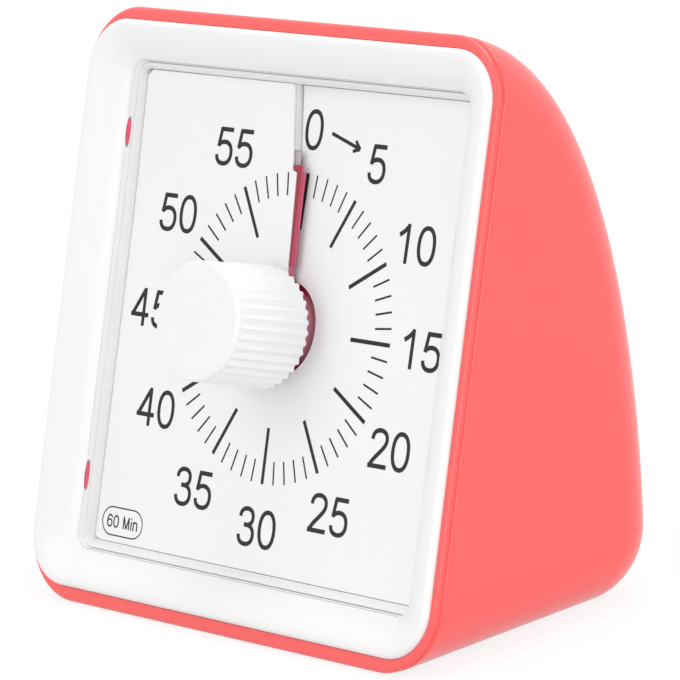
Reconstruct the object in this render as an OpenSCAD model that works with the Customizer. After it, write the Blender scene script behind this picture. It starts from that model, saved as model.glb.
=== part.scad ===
// Visual countdown timer: coral case, white front frame, slit dial and a helical time disc.
// Z is up, -Y is the front, X runs across the dial. Origin: centre of the sole, on the table.
// Parts of the face are written in face coordinates: x across, y up the face, z out of the face.

/* [Case] */
// Overall width of the case
case_w = 78.6; // [66:0.1:100]
// Height of the face, measured along its slope
face_h = 79.4; // [66:0.1:100]
// Lean of the face from upright, degrees
face_tilt = 17.8; // [8:0.1:28]
// Depth from the front foot to the heel
case_d = 45; // [40:0.1:60]
// How much of the face's lower edge the flat sole takes off
sole_cut = 0.7; // [0:0.1:2]
// Radius of all the long edges
edge_r = 8; // [4:0.5:12]
// Radius of the four corners at the front rim
front_r = 9; // [5:0.5:12]
// Rise of the front foot's rounded edge
foot_rise = 0.35; // [0.1:0.05:1]
// Run of the front foot's rounded edge
foot_run = 2.2; // [1:0.1:4]
// Radius of the heel, where back meets sole
heel_r = 10; // [9:0.5:16]
// Lean of the back above the heel, degrees
back_lean = 5; // [0:1:15]
// Length of the top curve's first handle
top_pull = 21.7; // [10:0.1:28]
// Length of the back curve's second handle
back_pull = 23.3; // [18:0.1:40]
// Wall of the case
wall = 2.2; // [1.6:0.1:3]
// Height of the case's front rim over the dial's zero plane
rim_n = 5.3; // [4:0.1:8]
// Rounding of the front rim
rim_fillet = 0.8; // [0.5:0.1:2]
// Depth of the groove behind the rim
groove_d = 0.2; // [0.1:0.05:0.5]
// Width of the groove behind the rim
groove_w = 0.6; // [0.4:0.1:1.2]

/* [Front frame] */
// Case rim left beside the frame
lip_side = 1.1; // [0.8:0.1:2]
// Case rim left above the frame
lip_top = 1.79; // [1:0.01:3]
// Case rim left below the frame
lip_low = 1.4; // [1:0.1:3]
// Corner radius of the frame
frame_r = 7; // [5:0.05:12]
// Front of the frame over the zero plane
frame_n = 6.06; // [5:0.01:8]
// Small rounding of the frame's outer edge
frame_round = 0.8; // [0.3:0.1:1.5]
// Seat of the frame on the case's ledge
seat_n = 3; // [2:0.1:4]
// Width of the frame's face beside the window
face_side = 6.1; // [4:0.1:9]
// Width of the frame's face above the window
face_over = 5.26; // [4:0.01:9]
// Width of the frame's face below the window
face_under = 5.3; // [4:0.1:9]
// Corner radius of the window
win_r = 2.5; // [1.5:0.1:5]
// Window edge over the zero plane
win_n = 3.15; // [2:0.01:5]
// Lower end of the window's skirt
skirt_n = -0.6; // [-2:0.1:1]
// Gap between frame and case
frame_gap = 0.15; // [0.05:0.05:0.4]

/* [Snap lugs] */
// Middle of the upper lugs up the face
lug_up = 22.95; // [15:0.05:28]
// Middle of the lower lugs down the face
lug_down = 23.4; // [15:0.05:28]
// Width of a lug
lug_w = 3.3; // [2:0.1:5]
// Thickness of a lug
lug_t = 1.35; // [0.8:0.05:2]
// Room beside a lug in its slot
lug_room = 1; // [0.5:0.1:2]

/* [Dial] */
// Tray border between the window and the printed card
card_in = 1; // [0.8:0.05:2]
// Corner radius of the printed card
card_r = 0.8; // [0.3:0.1:2]
// Upper face of the flat part of the card
card_n = 0.5; // [0:0.1:1]
// Thickness of the card
card_t = 0.3; // [0.2:0.05:0.6]
// Radius of the hole in the card's middle
hole_r = 6.15; // [5.5:0.05:7]
// Mean angle of the slit, clockwise from upright
slit_deg = -1.7; // [-5:0.1:5]
// Offset of the slit's inner part from the centre
slit_x = 0.35; // [-0.5:0.05:1]
// Lean of the slit's inner part, degrees anticlockwise
slit_lean = 2.3; // [0:0.1:5]
// Offset of the slit's outer part from the centre
tail_x = 1.56; // [-0.5:0.01:2]
// Lean of the slit's outer part, degrees anticlockwise
tail_lean = 7.9; // [0:0.1:10]
// Radius where the slit jogs aside for the pointer's head
jog_r = 20.3; // [17:0.1:22]
// Half of the gap between the slit's two edges, degrees
slit_half = 0.3; // [0.2:0.05:1]
// How far the card dips on the slit's right side
dip = 1.4; // [1:0.1:2]
// Arc over which the dip runs out
dip_deg = 155; // [90:5:200]
// Top of the tray's rim
tray_n = 2.4; // [1.5:0.1:3]
// Inner edge of the tray's rim
tray_in_n = 1; // [0.6:0.1:2]
// Back of the tray
tray_back = -3.7; // [-5:0.1:-3]
// Thickness of the tray's floor
tray_floor = 1.5; // [1:0.1:2]
// Room round the time disc in the tray
well_gap = 0.4; // [0.2:0.05:1]
// Gap between card and tray
card_gap = 0.08; // [0.05:0.01:0.2]

/* [Time disc] */
// Radius of the time disc
disc_r = 23.1; // [18:0.1:24]
// Thickness of the time disc
disc_t = 0.15; // [0.1:0.01:0.3]
// Rise of the disc in one turn
pitch = 1.7; // [1.4:0.1:2]
// Arc of the disc
disc_deg = 368; // [362:1:372]
// Leading edge past the slit when the timer stands at 0
lead_deg = 2.7; // [2:0.1:6]
// Middle of the disc's thickness in the slit
slit_pass = 0.025; // [-0.1:0.005:0.1]
// Right side of the pointer bar beside the knob
bar_x = 0.57; // [0.4:0.01:1]
// Narrowing of the pointer bar's right side towards its head
bar_taper = 0.18; // [0:0.01:0.3]
// Height of the pointer bar
bar_t = 0.4; // [0.2:0.05:0.6]
// Length of the pointer's head, up the face
head_l = 0.8; // [0.5:0.05:1.5]
// Clearance between the pointer and the slit's edge
bar_gap = 0.06; // [0.03:0.01:0.2]

/* [Knob] */
// Outer radius of the knob
knob_r = 7.8; // [6:0.05:9]
// Underside of the knob
knob_n = 2.9; // [2:0.1:4]
// Front of the knob
knob_top = 15.2; // [10:0.1:20]
// Number of flutes
flutes = 36; // [18:1:48]
// Depth of a flute
flute_d = 0.42; // [0.2:0.02:0.8]
// Rounding at the knob's front
knob_bevel = 0.35; // [0.2:0.05:2]
// Plain collar between the flutes and the knob's front
collar_h = 1; // [0.4:0.1:3]
// Radius of the spindle
spindle_r = 1.2; // [1:0.05:1.25]
// Radius of the disc's hub
hub_r = 5; // [4:0.1:5.5]
// Running clearance of turning parts
run_gap = 0.05; // [0.02:0.01:0.1]
// Clearance of parts pushed on the spindle
push_gap = 0.02; // [0.01:0.01:0.05]

/* [Movement] */
// Half size of the movement box
move_x = 22; // [20:0.5:24]
// Back of the movement box
move_back = -14; // [-15:0.1:-12]
// Thickness of plate and cover
move_wall = 1.2; // [1:0.1:2]
// Size of a tooth: pitch diameter over number of teeth
tooth_m = 0.24; // [0.2:0.01:0.25]
// Radius of the arbors
arbor_r = 0.5; // [0.4:0.05:0.6]
// Radius of the pivots
pivot_r = 0.3; // [0.2:0.05:0.35]

/* [Battery] */
// Radius of the cell
cell_r = 7.25; // [7:0.05:7.3]
// Length of the cell with its nub
cell_l = 50.5; // [49:0.1:51]
// Battery's axis in front of the back
cell_back = 10.02; // [9:0.01:14]
// Half width of the battery door
door_x = 30.3; // [28:0.1:32]
// Lower edge of the battery door
door_z = 7.4; // [6:0.1:10]
// Upper edge of the battery door
door_top = 23; // [22:0.1:28]
// Gap round the battery door
door_gap = 0.2; // [0.1:0.05:0.5]

/* [Hidden] */
thin = 0.02;
steps = 32;
half_w = case_w / 2;
face_top = face_h / 2;
foot_y = -case_d / 2;
back_y = case_d / 2;
dial_z = face_top * cos(face_tilt) - sole_cut;
dial_y = foot_y + (rim_n + dial_z * sin(face_tilt)) / cos(face_tilt);
sole_dip = 0.2;

top_p = face_point(face_top, rim_n);
heel_p = [back_y, heel_r * (1 - sin(back_lean))];
curve = [
    top_p,
    top_p + top_pull * [cos(face_tilt), -sin(face_tilt)],
    heel_p + back_pull * [sin(back_lean), cos(back_lean)],
    heel_p
];
heel_c = [back_y - heel_r * cos(back_lean), heel_r];

frame_x = half_w - lip_side;
frame_top = face_top - lip_top;
frame_bot = face_top - lip_low;
win_x = frame_x - face_side;
win_top = frame_top - face_over;
win_bot = frame_bot - face_under;
card_x = win_x - card_in;
card_y = win_top - card_in;
well_r = disc_r + well_gap;

lug_n = 1.5;
lug_tip = win_x + frame_gap;
slot_n = 0.6;
slot_top = win_n - 0.2;
skirt_t = 1.2;
boss_r = 1.3;
boss_x = 18;
boss_in = 3.8;
boss_up = frame_top - boss_in;
boss_down = frame_bot - boss_in;
screw_r = 0.65;
screw_gap = 0.03;
head_r = 1.15;
head_t = 0.7;
flange_top = skirt_n - 0.05;
flange_t = 1.25;
flange_w = 3.1;
flange_x = win_x + flange_w;
flange_y = win_top + flange_w - 0.6;
flange_r = 6;
floor_top = tray_back + tray_floor;
bed_root = tray_back + 0.7;
rim_step = 0.15;

card_mid = card_n - card_t / 2;
collar_n = knob_top - collar_h;
hub_base = -2;
hub_top = knob_n - 0.05;
bar_in = knob_r + 0.3;
head_low = jog_r + 0.15;
bar_end = head_low + head_l;
bar_n = slit_pass + disc_t / 2 + 0.05;

plate_back = tray_back - move_wall;
cover_in = move_back + move_wall;
post_x = 20.3;
post_r = 1.7;
fix_r = 0.8;
fix_head_r = 1.5;
fix_tip = -1.4;

centre_teeth = 64;
wheel_teeth = 60;
small_teeth = 8;
step_pinion_teeth = 12;
step_teeth = 48;
third_pos = step_from([0, 0], centre_teeth + small_teeth, 30);
second_pos = step_from(third_pos, wheel_teeth + small_teeth, 121.5);
step_pos = step_from(second_pos, wheel_teeth + step_pinion_teeth, 196);
rotor_pos = step_from(step_pos, step_teeth + small_teeth, 195.5);
layer_1 = -6.4;
layer_2 = -8.2;
layer_3 = -10;
wheel_t = 0.5;
pinion_t = 1.3;
pinion_drop = 0.4;
pivot_len = 0.6;
stator_n = -10.1;
stator_t = 0.8;
coil_x = -17;
coil_low = -10.5;
coil_len = 13;
board_n = -7;
board_t = 1;

cell_y = back_y - cell_back;
cell_z = 15;
cradle_y = cell_y - cell_r + 0.75;
cradle_back = back_y - wall - 1.7;
door_depth = 8.6;
notch_r = 4;
nub_l = 1;
leaf_t = 0.4;
leaf_gap = 0.1;
plus_wall = cell_l / 2 + 1.5;
minus_wall = cell_l / 2 + 4.95;
end_wall = 1.5;
spring_wire = 0.3;

buzz_t = 0.62;
buzz_r = 9;
buzz_h = 2.3;
buzz_top = -wall - 0.85;
sound_r = 0.8;
switch_x = -25;
switch_room = 0.2;
stem_w = 4;
stem_h = 2.2;
travel = 2;

coral = [1, 0.42, 0.41];
white = [0.95, 0.95, 0.94];
steel = [0.7, 0.71, 0.73];
brass = [0.78, 0.63, 0.32];

// Place in the (Y, Z) plane of a point given up the face and out of it
function face_point(u, n) = [
    dial_y + u * sin(face_tilt) - n * cos(face_tilt),
    dial_z + u * cos(face_tilt) + n * sin(face_tilt)
];

// Height up the face of the level z at the distance n out of the face
function level(z, n) = (z - dial_z - n * sin(face_tilt)) / cos(face_tilt);

// Point and direction of the back's curve at t, top to heel
function curve_at(t) = pow(1 - t, 3) * curve[0] + 3 * pow(1 - t, 2) * t * curve[1]
    + 3 * (1 - t) * t * t * curve[2] + pow(t, 3) * curve[3];
function curve_dir(t) = pow(1 - t, 2) * (curve[1] - curve[0])
    + 2 * (1 - t) * t * (curve[2] - curve[1]) + t * t * (curve[3] - curve[2]);

// Next arbor: one centre distance away from the last, in the given direction
function step_from(p, teeth, deg) = p + teeth * tooth_m / 2 * [cos(deg), sin(deg)];

// Corner points of a rounded rectangle, anticlockwise, in face coordinates
corner_steps = 8;
function loop(x, top, bot, r) = [
    for (q = [0:3]) for (k = [0:corner_steps])
        let (a = 90 * q + 90 * k / corner_steps, sx = (q == 0 || q == 3) ? 1 : -1)
        [sx * (x - r) + r * cos(a), (q < 2 ? top - r : r - bot) + r * sin(a)]
];

// Point of the dial at the angle psi clockwise of the slit
function polar(r, psi) = [r * sin(slit_deg + psi), r * cos(slit_deg + psi)];

// Distance of the slit's edge from the upright through the centre, at the radius r
function slit_side(r) = r < jog_r ? slit_x - r * tan(slit_lean) : tail_x - r * tan(tail_lean);

// The same point on the card, whose radial rows bend to follow the slit's two edges
bend_span = 30;
function card_polar(r, psi) =
    polar(r, psi + (asin(slit_side(r) / r) - slit_deg) * max(0, 1 - min(psi, 360 - psi) / bend_span));

// Rows of the card, from the slit's raised edge round to its dipped edge
card_rows = concat([360 - slit_half], [for (psi = [357:-3:3]) psi], [slit_half]);

// Middle of the card's thickness at psi
function card_level(psi) = psi < dip_deg ? card_mid - dip * pow(1 - psi / dip_deg, 2) : card_mid;

// Middle of the disc's thickness at psi
function disc_level(psi) = slit_pass + pitch * psi / 360;

module on_face() {
    translate([0, dial_y, dial_z]) rotate([90 - face_tilt, 0, 0]) children();
}

// Frame on the back at curve parameter t: z out of the back, y down along it
module on_back(x, t) {
    p = curve_at(t);
    d = curve_dir(t);
    translate([x, p[0], p[1]]) rotate([atan2(d[1], d[0]), 0, 0]) children();
}

// Solid through a row of equal sections, each out and back on two lines; open rows get end caps
module swept(sections, closed) {
    m = len(sections[0]);
    k = len(sections);
    last = closed ? k - 1 : k - 2;
    points = [for (s = sections) each s];
    sides = [
        for (j = [0:last]) for (i = [0:m - 1])
            let (a = j * m, b = ((j + 1) % k) * m, c = (i + 1) % m)
            each [[a + i, b + c, b + i], [a + i, a + c, b + c]]
    ];
    end = (k - 1) * m;
    caps = closed ? [] : [
        for (i = [0:m / 2 - 2]) each [
            [m - 1 - i, m - 2 - i, i + 1, i],
            [end + i, end + i + 1, end + m - 2 - i, end + m - 1 - i]
        ]
    ];
    polyhedron(points, concat(sides, caps), convexity = 6);
}

// Flat rounded plate in face coordinates from level a to level b
module plate(x, top, bot, r, a, b) {
    translate([0, 0, a]) linear_extrude(b - a) outline(x, top, bot, r);
}

module outline(x, top, bot, r) {
    translate([-x, r - bot]) square([2 * x, top + bot - 2 * r]);
    translate([r - x, -bot]) square([2 * (x - r), top + bot]);
    for (sx = [-1, 1]) {
        translate([sx * (x - r), top - r]) circle(r, $fn = 96);
        translate([sx * (x - r), r - bot]) circle(r, $fn = 96);
    }
}

// Bar along z in face coordinates
module rod(p, r, a, b) {
    translate([p[0], p[1], a]) cylinder(r = r, h = b - a, $fn = 96);
}

// One slice of the case's front, parallel to the face
module slice(n, inset, fillet, low) {
    r = front_r - inset - fillet;
    translate([0, 0, n]) linear_extrude(thin)
        for (sx = [-1, 1]) {
            translate([sx * (half_w - front_r), face_top - front_r]) circle(r, $fn = steps);
            translate([sx * (half_w - front_r), level(low, n) + foot_rise + fillet + r])
                circle(r, $fn = steps);
        }
}

// Disc square to the profile, centred on the inner path
module rib(p, dir, inset) {
    for (sx = [-1, 1])
        translate([sx * (half_w - edge_r), p[0], p[1]])
            rotate([atan2(-dir[0], dir[1]), 0, 0])
                cylinder(r = edge_r - inset, h = thin, $fn = steps);
}

// Whole form of the case, every face moved inwards by inset
module case_form(inset, drop) {
    hull() {
        for (a = [0:30:90])
            on_face() slice(rim_n - rim_fillet * (1 - cos(a)), inset,
                rim_fillet * (1 - sin(a)), inset - drop);
        for (t = [0.06:0.094:1]) {
            d = curve_dir(t) / norm(curve_dir(t));
            rib(curve_at(t) - edge_r * [-d[1], d[0]], d, inset);
        }
        for (b = [back_lean:14:90])
            rib(heel_c + (heel_r - edge_r) * [cos(b), -sin(b)], [-sin(b), -cos(b)], inset);
        rib([heel_c[0], edge_r - drop], [-1, 0], inset);
        translate([edge_r - half_w, foot_y + foot_run, inset - drop])
            cube([2 * (half_w - edge_r), 1, thin]);
    }
}

// Battery door's place in the back wall
module door_box(grow) {
    translate([-door_x - grow, back_y - door_depth, door_z - grow])
        cube([2 * (door_x + grow), 2 * door_depth, door_top - door_z + 2 * grow]);
}

module housing() {
    color(coral) {
        difference() {
            case_form(0, sole_dip);
            case_form(wall, 0);
            on_face() plate(frame_x + frame_gap, frame_top + frame_gap, frame_bot + frame_gap,
                frame_r + frame_gap, seat_n, rim_n + 3);
            translate([-half_w - 1, -case_d, -2]) cube([case_w + 2, 2 * case_d, 2]);
            on_face() groove();
            door_box(door_gap);
            on_back(0, buzz_t) sound_holes();
            on_back(switch_x, buzz_t) switch_slot(wall + 1.5);
        }
        on_face() for (sx = [-1, 1]) {
            lug(sx, lug_up);
            lug(sx, -lug_down);
        }
        intersection() {
            case_form(wall - 0.6, 0);
            cell_cradle();
        }
        on_back(0, buzz_t) buzzer_ring();
        on_back(switch_x, buzz_t) switch_cheeks();
    }
}

module groove() {
    low = rim_n - rim_fillet - groove_w;
    translate([0, 0, low]) linear_extrude(groove_w) difference() {
        square([2 * case_w, 2 * face_h], center = true);
        outline(half_w - groove_d, face_top - groove_d, face_top + 5, front_r - groove_d);
    }
}

module lug(sx, u) {
    reach = half_w - wall + 0.5 - lug_tip;
    translate([sx > 0 ? lug_tip : -lug_tip - reach, u - lug_w / 2, lug_n])
        cube([reach, lug_w, lug_t]);
}

// Walls that hold the contacts and two ribs that carry the cell
module cell_cradle() {
    deep = cradle_back - cradle_y;
    rib_x = cell_l * 0.28;
    for (x = [plus_wall, -minus_wall - end_wall])
        translate([x, cradle_y, wall - 0.6]) cube([end_wall, deep, cell_z + 2.5]);
    difference() {
        for (x = [-rib_x - end_wall, rib_x])
            translate([x, cradle_y, wall - 0.6]) cube([end_wall, deep, cell_z - cell_r]);
        translate([-cell_l / 2, cell_y, cell_z]) rotate([0, 90, 0])
            cylinder(r = cell_r + 0.15, h = cell_l, $fn = 96);
    }
}

module sound_holes() {
    for (q = [0:6]) {
        reach = q == 0 ? 0 : 3.6;
        translate([reach * cos(60 * q), reach * sin(60 * q), -wall - 1])
            cylinder(r = sound_r, h = wall + 3, $fn = 48);
    }
}

module buzzer_ring() {
    translate([0, 0, -wall - 3.2]) difference() {
        cylinder(r = buzz_r + 1.2, h = 3.8, $fn = 96);
        translate([0, 0, -1]) cylinder(r = buzz_r + 0.2, h = 6, $fn = 96);
    }
}

module switch_slot(depth) {
    long = stem_w + 2 * (travel + switch_room);
    wide = stem_h + 2 * switch_room;
    translate([-long / 2, -wide / 2, -depth]) cube([long, wide, depth + 3]);
}

module switch_cheeks() {
    for (sx = [-1, 1])
        translate([sx * 6.6 - 0.6, -2, -wall - 3.6]) cube([1.2, 4, 4.2]);
}

// Frame section: s runs from the outer edge (0) to the window's edge (1)
module front_bezel() {
    round_s = frame_round / (frame_x - win_x);
    skirt_s = 1 - skirt_t / (frame_x - win_x);
    section = concat(
        [[0, seat_n]],
        [for (a = [0:30:90]) [round_s * (1 - cos(a)), frame_n - frame_round * (1 - sin(a))]],
        [for (v = [0.15:0.17:1]) [round_s + (1 - round_s) * v,
            frame_n - (frame_n - win_n) * pow(v, 1.9)]],
        [[1, skirt_n], [skirt_s, skirt_n], [skirt_s, seat_n], [0.62, seat_n], [0.62, seat_n + 0.9],
         [0.22, seat_n + 1.4], [0.22, seat_n]]
    );
    rings = [for (p = section) [for (q = frame_loop(p[0])) [q[0], q[1], p[1]]]];
    color(white) on_face() difference() {
        union() {
            swept([for (j = [0:len(rings[0]) - 1]) [for (g = rings) g[j]]], true);
            for (p = boss_places()) rod(p, boss_r, skirt_n, seat_n + 0.4);
        }
        for (p = boss_places()) rod(p, screw_r + screw_gap, skirt_n - 1, seat_n - 0.6);
        for (sx = [-1, 1]) {
            lug_slot(sx, lug_up);
            lug_slot(sx, -lug_down);
        }
    }
}

function frame_loop(s) = loop(
    frame_x + (win_x - frame_x) * s,
    frame_top + (win_top - frame_top) * s,
    frame_bot + (win_bot - frame_bot) * s,
    frame_r + (win_r - frame_r) * s
);

function boss_places() = [
    [boss_x, boss_up], [-boss_x, boss_up], [boss_x, -boss_down], [-boss_x, -boss_down]
];

module lug_slot(sx, u) {
    w = lug_w + 2 * lug_room;
    translate([sx > 0 ? win_x - 1 : -win_x - skirt_t - 2, u - w / 2, slot_n])
        cube([skirt_t + 3, w, slot_top - slot_n]);
}

module dial_tray() {
    x = win_x - frame_gap;
    top = win_top - frame_gap;
    bot = win_bot - frame_gap;
    in_x = card_x + frame_gap;
    in_y = card_y + frame_gap;
    rim = [[0, bed_root], [0, tray_n - 0.2], [0.25, tray_n], [0.6, tray_n - 0.25],
        [0.85, tray_n - 0.75], [1, tray_in_n], [1, bed_root]];
    rings = [for (p = rim) [
        for (q = loop(x + (in_x - x) * p[0], top + (in_y - top) * p[0],
            bot + (in_y - bot) * p[0], win_r + (card_r + frame_gap - win_r) * p[0]))
            [q[0], q[1], p[1]]
    ]];
    color(white) on_face() difference() {
        union() {
            swept([for (j = [0:len(rings[0]) - 1]) [for (g = rings) g[j]]], true);
            card_bed();
            plate(x - rim_step, top - rim_step, bot - rim_step, win_r, tray_back, floor_top);
            difference() {
                plate(flange_x, flange_y, flange_y + win_bot - win_top, flange_r,
                    flange_top - flange_t, flange_top);
                plate(x - 0.3, top - 0.3, bot - 0.3, win_r, flange_top - 3, flange_top + 1);
            }
        }
        rod([0, 0], spindle_r + 0.4, tray_back - 1, 3);
        for (p = boss_places()) rod(p, screw_r + 0.2, tray_back - 1, 1);
        for (p = post_places()) rod(p, fix_r + screw_gap, tray_back - 1, fix_tip + 0.3);
    }
}

// Bed under the card, with the card's own dip; the disc turns in the round well it leaves
module card_bed() {
    drop = card_t / 2 + card_gap;
    swept([
        for (psi = card_rows)
            let (c = card_polar(edge_reach(psi, 0.3), psi),
                 e = card_polar(well_r, psi),
                 z = card_level(psi) - drop)
            [[c[0], c[1], bed_root], [c[0], c[1], z], [e[0], e[1], z], [e[0], e[1], bed_root]]
    ], false);
}

// Distance from the centre to the card's straight edges, moved outwards by grow
function edge_reach(psi, grow) = min(
    (card_x + grow) / max(abs(sin(slit_deg + psi)), 0.01),
    (card_y + grow) / max(abs(cos(slit_deg + psi)), 0.01)
);

module dial_card() {
    h = card_t / 2;
    sections = [
        for (psi = card_rows)
            let (z = card_level(psi), reach = [edge_reach(psi, 1.2), jog_r + 0.1, jog_r - 0.1, hole_r - 1],
                 row = [for (r = reach) card_polar(r, psi)])
            concat(
                [for (k = [0:3]) [row[k][0], row[k][1], z + h]],
                [for (k = [3:-1:0]) [row[k][0], row[k][1], z - h]]
            )
    ];
    color(white) on_face() intersection() {
        difference() {
            swept(sections, false);
            rod([0, 0], hole_r, -5, 5);
        }
        plate(card_x, card_y, card_y, card_r, -3, 3);
    }
}

module time_disc() {
    span = 4;
    h = disc_t / 2;
    sections = [
        for (k = [0:disc_deg / span])
            let (psi = lead_deg - k * span, c = polar(disc_r + 1, psi), e = polar(hub_r - 1, psi),
                 z = disc_level(psi))
            [[c[0], c[1], z - h], [c[0], c[1], z + h], [e[0], e[1], z + h], [e[0], e[1], z - h]]
    ];
    color([0.78, 0.12, 0.2]) on_face() intersection() {
        swept(sections, false);
        difference() {
            rod([0, 0], disc_r, -4, 4);
            rod([0, 0], hub_r + run_gap, -5, 5);
            translate([slit_side(bar_end) + 0.8, bar_end + 0.1, slit_pass - 0.3]) cube(disc_r / 4);
        }
    }
}

module disc_pointer() {
    side = slit_side(bar_end) + 2 * bar_gap;
    color([0.72, 0.1, 0.18]) on_face() translate([0, 0, bar_n]) linear_extrude(bar_t) polygon([
        [slit_side(bar_in) + bar_gap, bar_in], [bar_x, bar_in], [bar_x - bar_taper, bar_end],
        [side, bar_end], [side, head_low + 0.3], [side + 0.1, head_low + 0.08],
        [side + 0.3, head_low], [slit_side(jog_r - thin) + bar_gap, head_low]
    ]);
}

module disc_hub() {
    color([0.6, 0.08, 0.15]) on_face() difference() {
        rod([0, 0], hub_r, hub_base, hub_top);
        rod([0, 0], spindle_r + push_gap, hub_base - 1, hub_top + 1);
    }
}

module knob() {
    per_flute = 6;
    crest_in = 0.05;
    count = flutes * per_flute;
    rim = [
        for (k = [0:count - 1])
            let (a = 360 * k / count,
                 r = knob_r - crest_in - flute_d * pow(abs(sin(flutes * a / 2)), 1.5))
            [r * cos(a), r * sin(a)]
    ];
    color(white) on_face() difference() {
        union() {
            translate([0, 0, knob_n]) linear_extrude(collar_n + 0.2 - knob_n) polygon(rim);
            rotate_extrude($fn = 96) polygon([
                [0, collar_n], [knob_r, collar_n], [knob_r, knob_top - knob_bevel],
                [knob_r - 0.3 * knob_bevel, knob_top - 0.3 * knob_bevel],
                [knob_r - knob_bevel, knob_top], [0, knob_top]
            ]);
        }
        rod([0, 0], spindle_r + push_gap, knob_n - 1, knob_top - 3);
    }
}

module knob_spindle() {
    color(steel) on_face() {
        rod([0, 0], spindle_r, cover_in - pivot_len, knob_top - 3.1);
        rod([0, 0], 2, layer_1 + wheel_t + 0.1, plate_back - 0.1);
        rod([0, 0], 1.9, layer_2 + wheel_t + 0.15, layer_1 - 0.9);
    }
}

// Friction washer between the centre wheel and the spindle's collar
module clutch_spring() {
    low = layer_1 - 0.75;
    color(brass) on_face() difference() {
        union() {
            rod([0, 0], 2.4, low, low + 0.25);
            for (q = [0:2])
                rotate([0, 0, 120 * q]) translate([-0.6, 1.8, low]) cube([1.2, 2.4, 0.25]);
            for (q = [0:2])
                rotate([0, 0, 120 * q]) translate([-0.6, 3.6, low]) cube([1.2, 0.6, 0.7]);
        }
        rod([0, 0], spindle_r + push_gap, low - 1, low + 1);
    }
}

function post_places() = [[post_x, post_x], [-post_x, post_x], [post_x, -post_x], [-post_x, -post_x]];
function arbor_places() = [third_pos, second_pos, step_pos, rotor_pos];
board_posts = [[-1, -15.5], [15, -15.5]];
stator_posts = [[coil_x, 7.5], [coil_x, -14]];

module movement_plate() {
    color([0.86, 0.86, 0.84]) on_face() difference() {
        union() {
            plate(move_x, move_x, move_x, 1.5, plate_back, tray_back - 0.05);
            for (p = board_posts) rod(p, 1.2, board_n + board_t, plate_back + 0.3);
            for (p = stator_posts) rod(p, 1.1, stator_n + stator_t, plate_back + 0.3);
        }
        rod([0, 0], spindle_r + run_gap, plate_back - 1, tray_back + 1);
        for (p = arbor_places()) rod(p, pivot_r + run_gap, plate_back - 1, plate_back + pivot_len + 0.1);
        for (p = post_places()) rod(p, fix_r + 0.1, plate_back - 1, tray_back + 1);
    }
}

module movement_cover() {
    color([0.22, 0.23, 0.25]) on_face() difference() {
        union() {
            difference() {
                plate(move_x, move_x, move_x, 1.5, move_back, plate_back - 0.05);
                plate(move_x - move_wall, move_x - move_wall, move_x - move_wall, 1, cover_in,
                    plate_back + 1);
            }
            for (p = post_places()) rod(p, post_r, cover_in - 0.4, plate_back - 0.05);
        }
        rod([0, 0], spindle_r + run_gap, cover_in - pivot_len - 0.1, cover_in + 1);
        for (p = arbor_places()) rod(p, pivot_r + run_gap, cover_in - pivot_len - 0.1, cover_in + 1);
        for (p = post_places()) rod(p, fix_r + 0.1, move_back - 1, plate_back + 1);
    }
}

// Toothed disc with one tooth (or one gap) turned towards its neighbour
module toothed(p, teeth, facing, gap_there, a, b) {
    r = teeth * tooth_m / 2;
    turn = 360 / teeth;
    start = facing + (gap_there ? turn / 2 : 0);
    rim = [
        for (k = [0:teeth - 1]) for (c = [[-0.27, -0.2], [-0.13, 0.1], [0.13, 0.1], [0.27, -0.2]])
            let (ang = start + turn * (k + c[0]), q = r + c[1])
            [q * cos(ang), q * sin(ang)]
    ];
    translate([p[0], p[1], a]) linear_extrude(b - a) polygon(rim);
}

module arbor(p) {
    rod(p, arbor_r, cover_in + 0.1, plate_back - 0.1);
    rod(p, pivot_r, cover_in - pivot_len, plate_back + pivot_len);
}

function bearing(p, q) = atan2(q[1] - p[1], q[0] - p[0]);

module spokes(p, r, n) {
    for (q = [0:4])
        rod(p + r * [cos(72 * q), sin(72 * q)], r * 0.34, n - 1, n + 1.5);
}

module centre_wheel() {
    color(brass) on_face() difference() {
        union() {
            toothed([0, 0], centre_teeth, bearing([0, 0], third_pos), false, layer_1, layer_1 + wheel_t);
            rod([0, 0], 2.4, layer_1 - 0.05, layer_1 + wheel_t);
        }
        rod([0, 0], spindle_r + run_gap, layer_1 - 1, layer_1 + 2);
        spokes([0, 0], 4.9, layer_1);
    }
}

module third_wheel() {
    color(brass) on_face() {
        difference() {
            toothed(third_pos, wheel_teeth, bearing(third_pos, second_pos), false,
                layer_2, layer_2 + wheel_t);
            spokes(third_pos, 4.2, layer_2);
        }
        toothed(third_pos, small_teeth, bearing(third_pos, [0, 0]), true,
            layer_1 - pinion_drop, layer_1 - pinion_drop + pinion_t);
        arbor(third_pos);
    }
}

module second_wheel() {
    color(brass) on_face() {
        difference() {
            toothed(second_pos, wheel_teeth, bearing(second_pos, step_pos), false,
                layer_3, layer_3 + wheel_t);
            spokes(second_pos, 4.2, layer_3);
        }
        toothed(second_pos, small_teeth, bearing(second_pos, third_pos), true,
            layer_2 - pinion_drop, layer_2 - pinion_drop + pinion_t);
        arbor(second_pos);
    }
}

module step_wheel() {
    color([0.9, 0.9, 0.86]) on_face() {
        toothed(step_pos, step_teeth, bearing(step_pos, rotor_pos), false, layer_2, layer_2 + wheel_t);
        toothed(step_pos, step_pinion_teeth, bearing(step_pos, second_pos), true,
            layer_3 - pinion_drop, layer_3 - pinion_drop + pinion_t);
        arbor(step_pos);
    }
}

module rotor() {
    color([0.35, 0.35, 0.38]) on_face() {
        toothed(rotor_pos, small_teeth, bearing(rotor_pos, step_pos), true,
            layer_2 - pinion_drop, layer_2 - pinion_drop + pinion_t);
        rod(rotor_pos, 2.2, stator_n - 0.3, stator_n + stator_t + 0.3);
        arbor(rotor_pos);
    }
}

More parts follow.
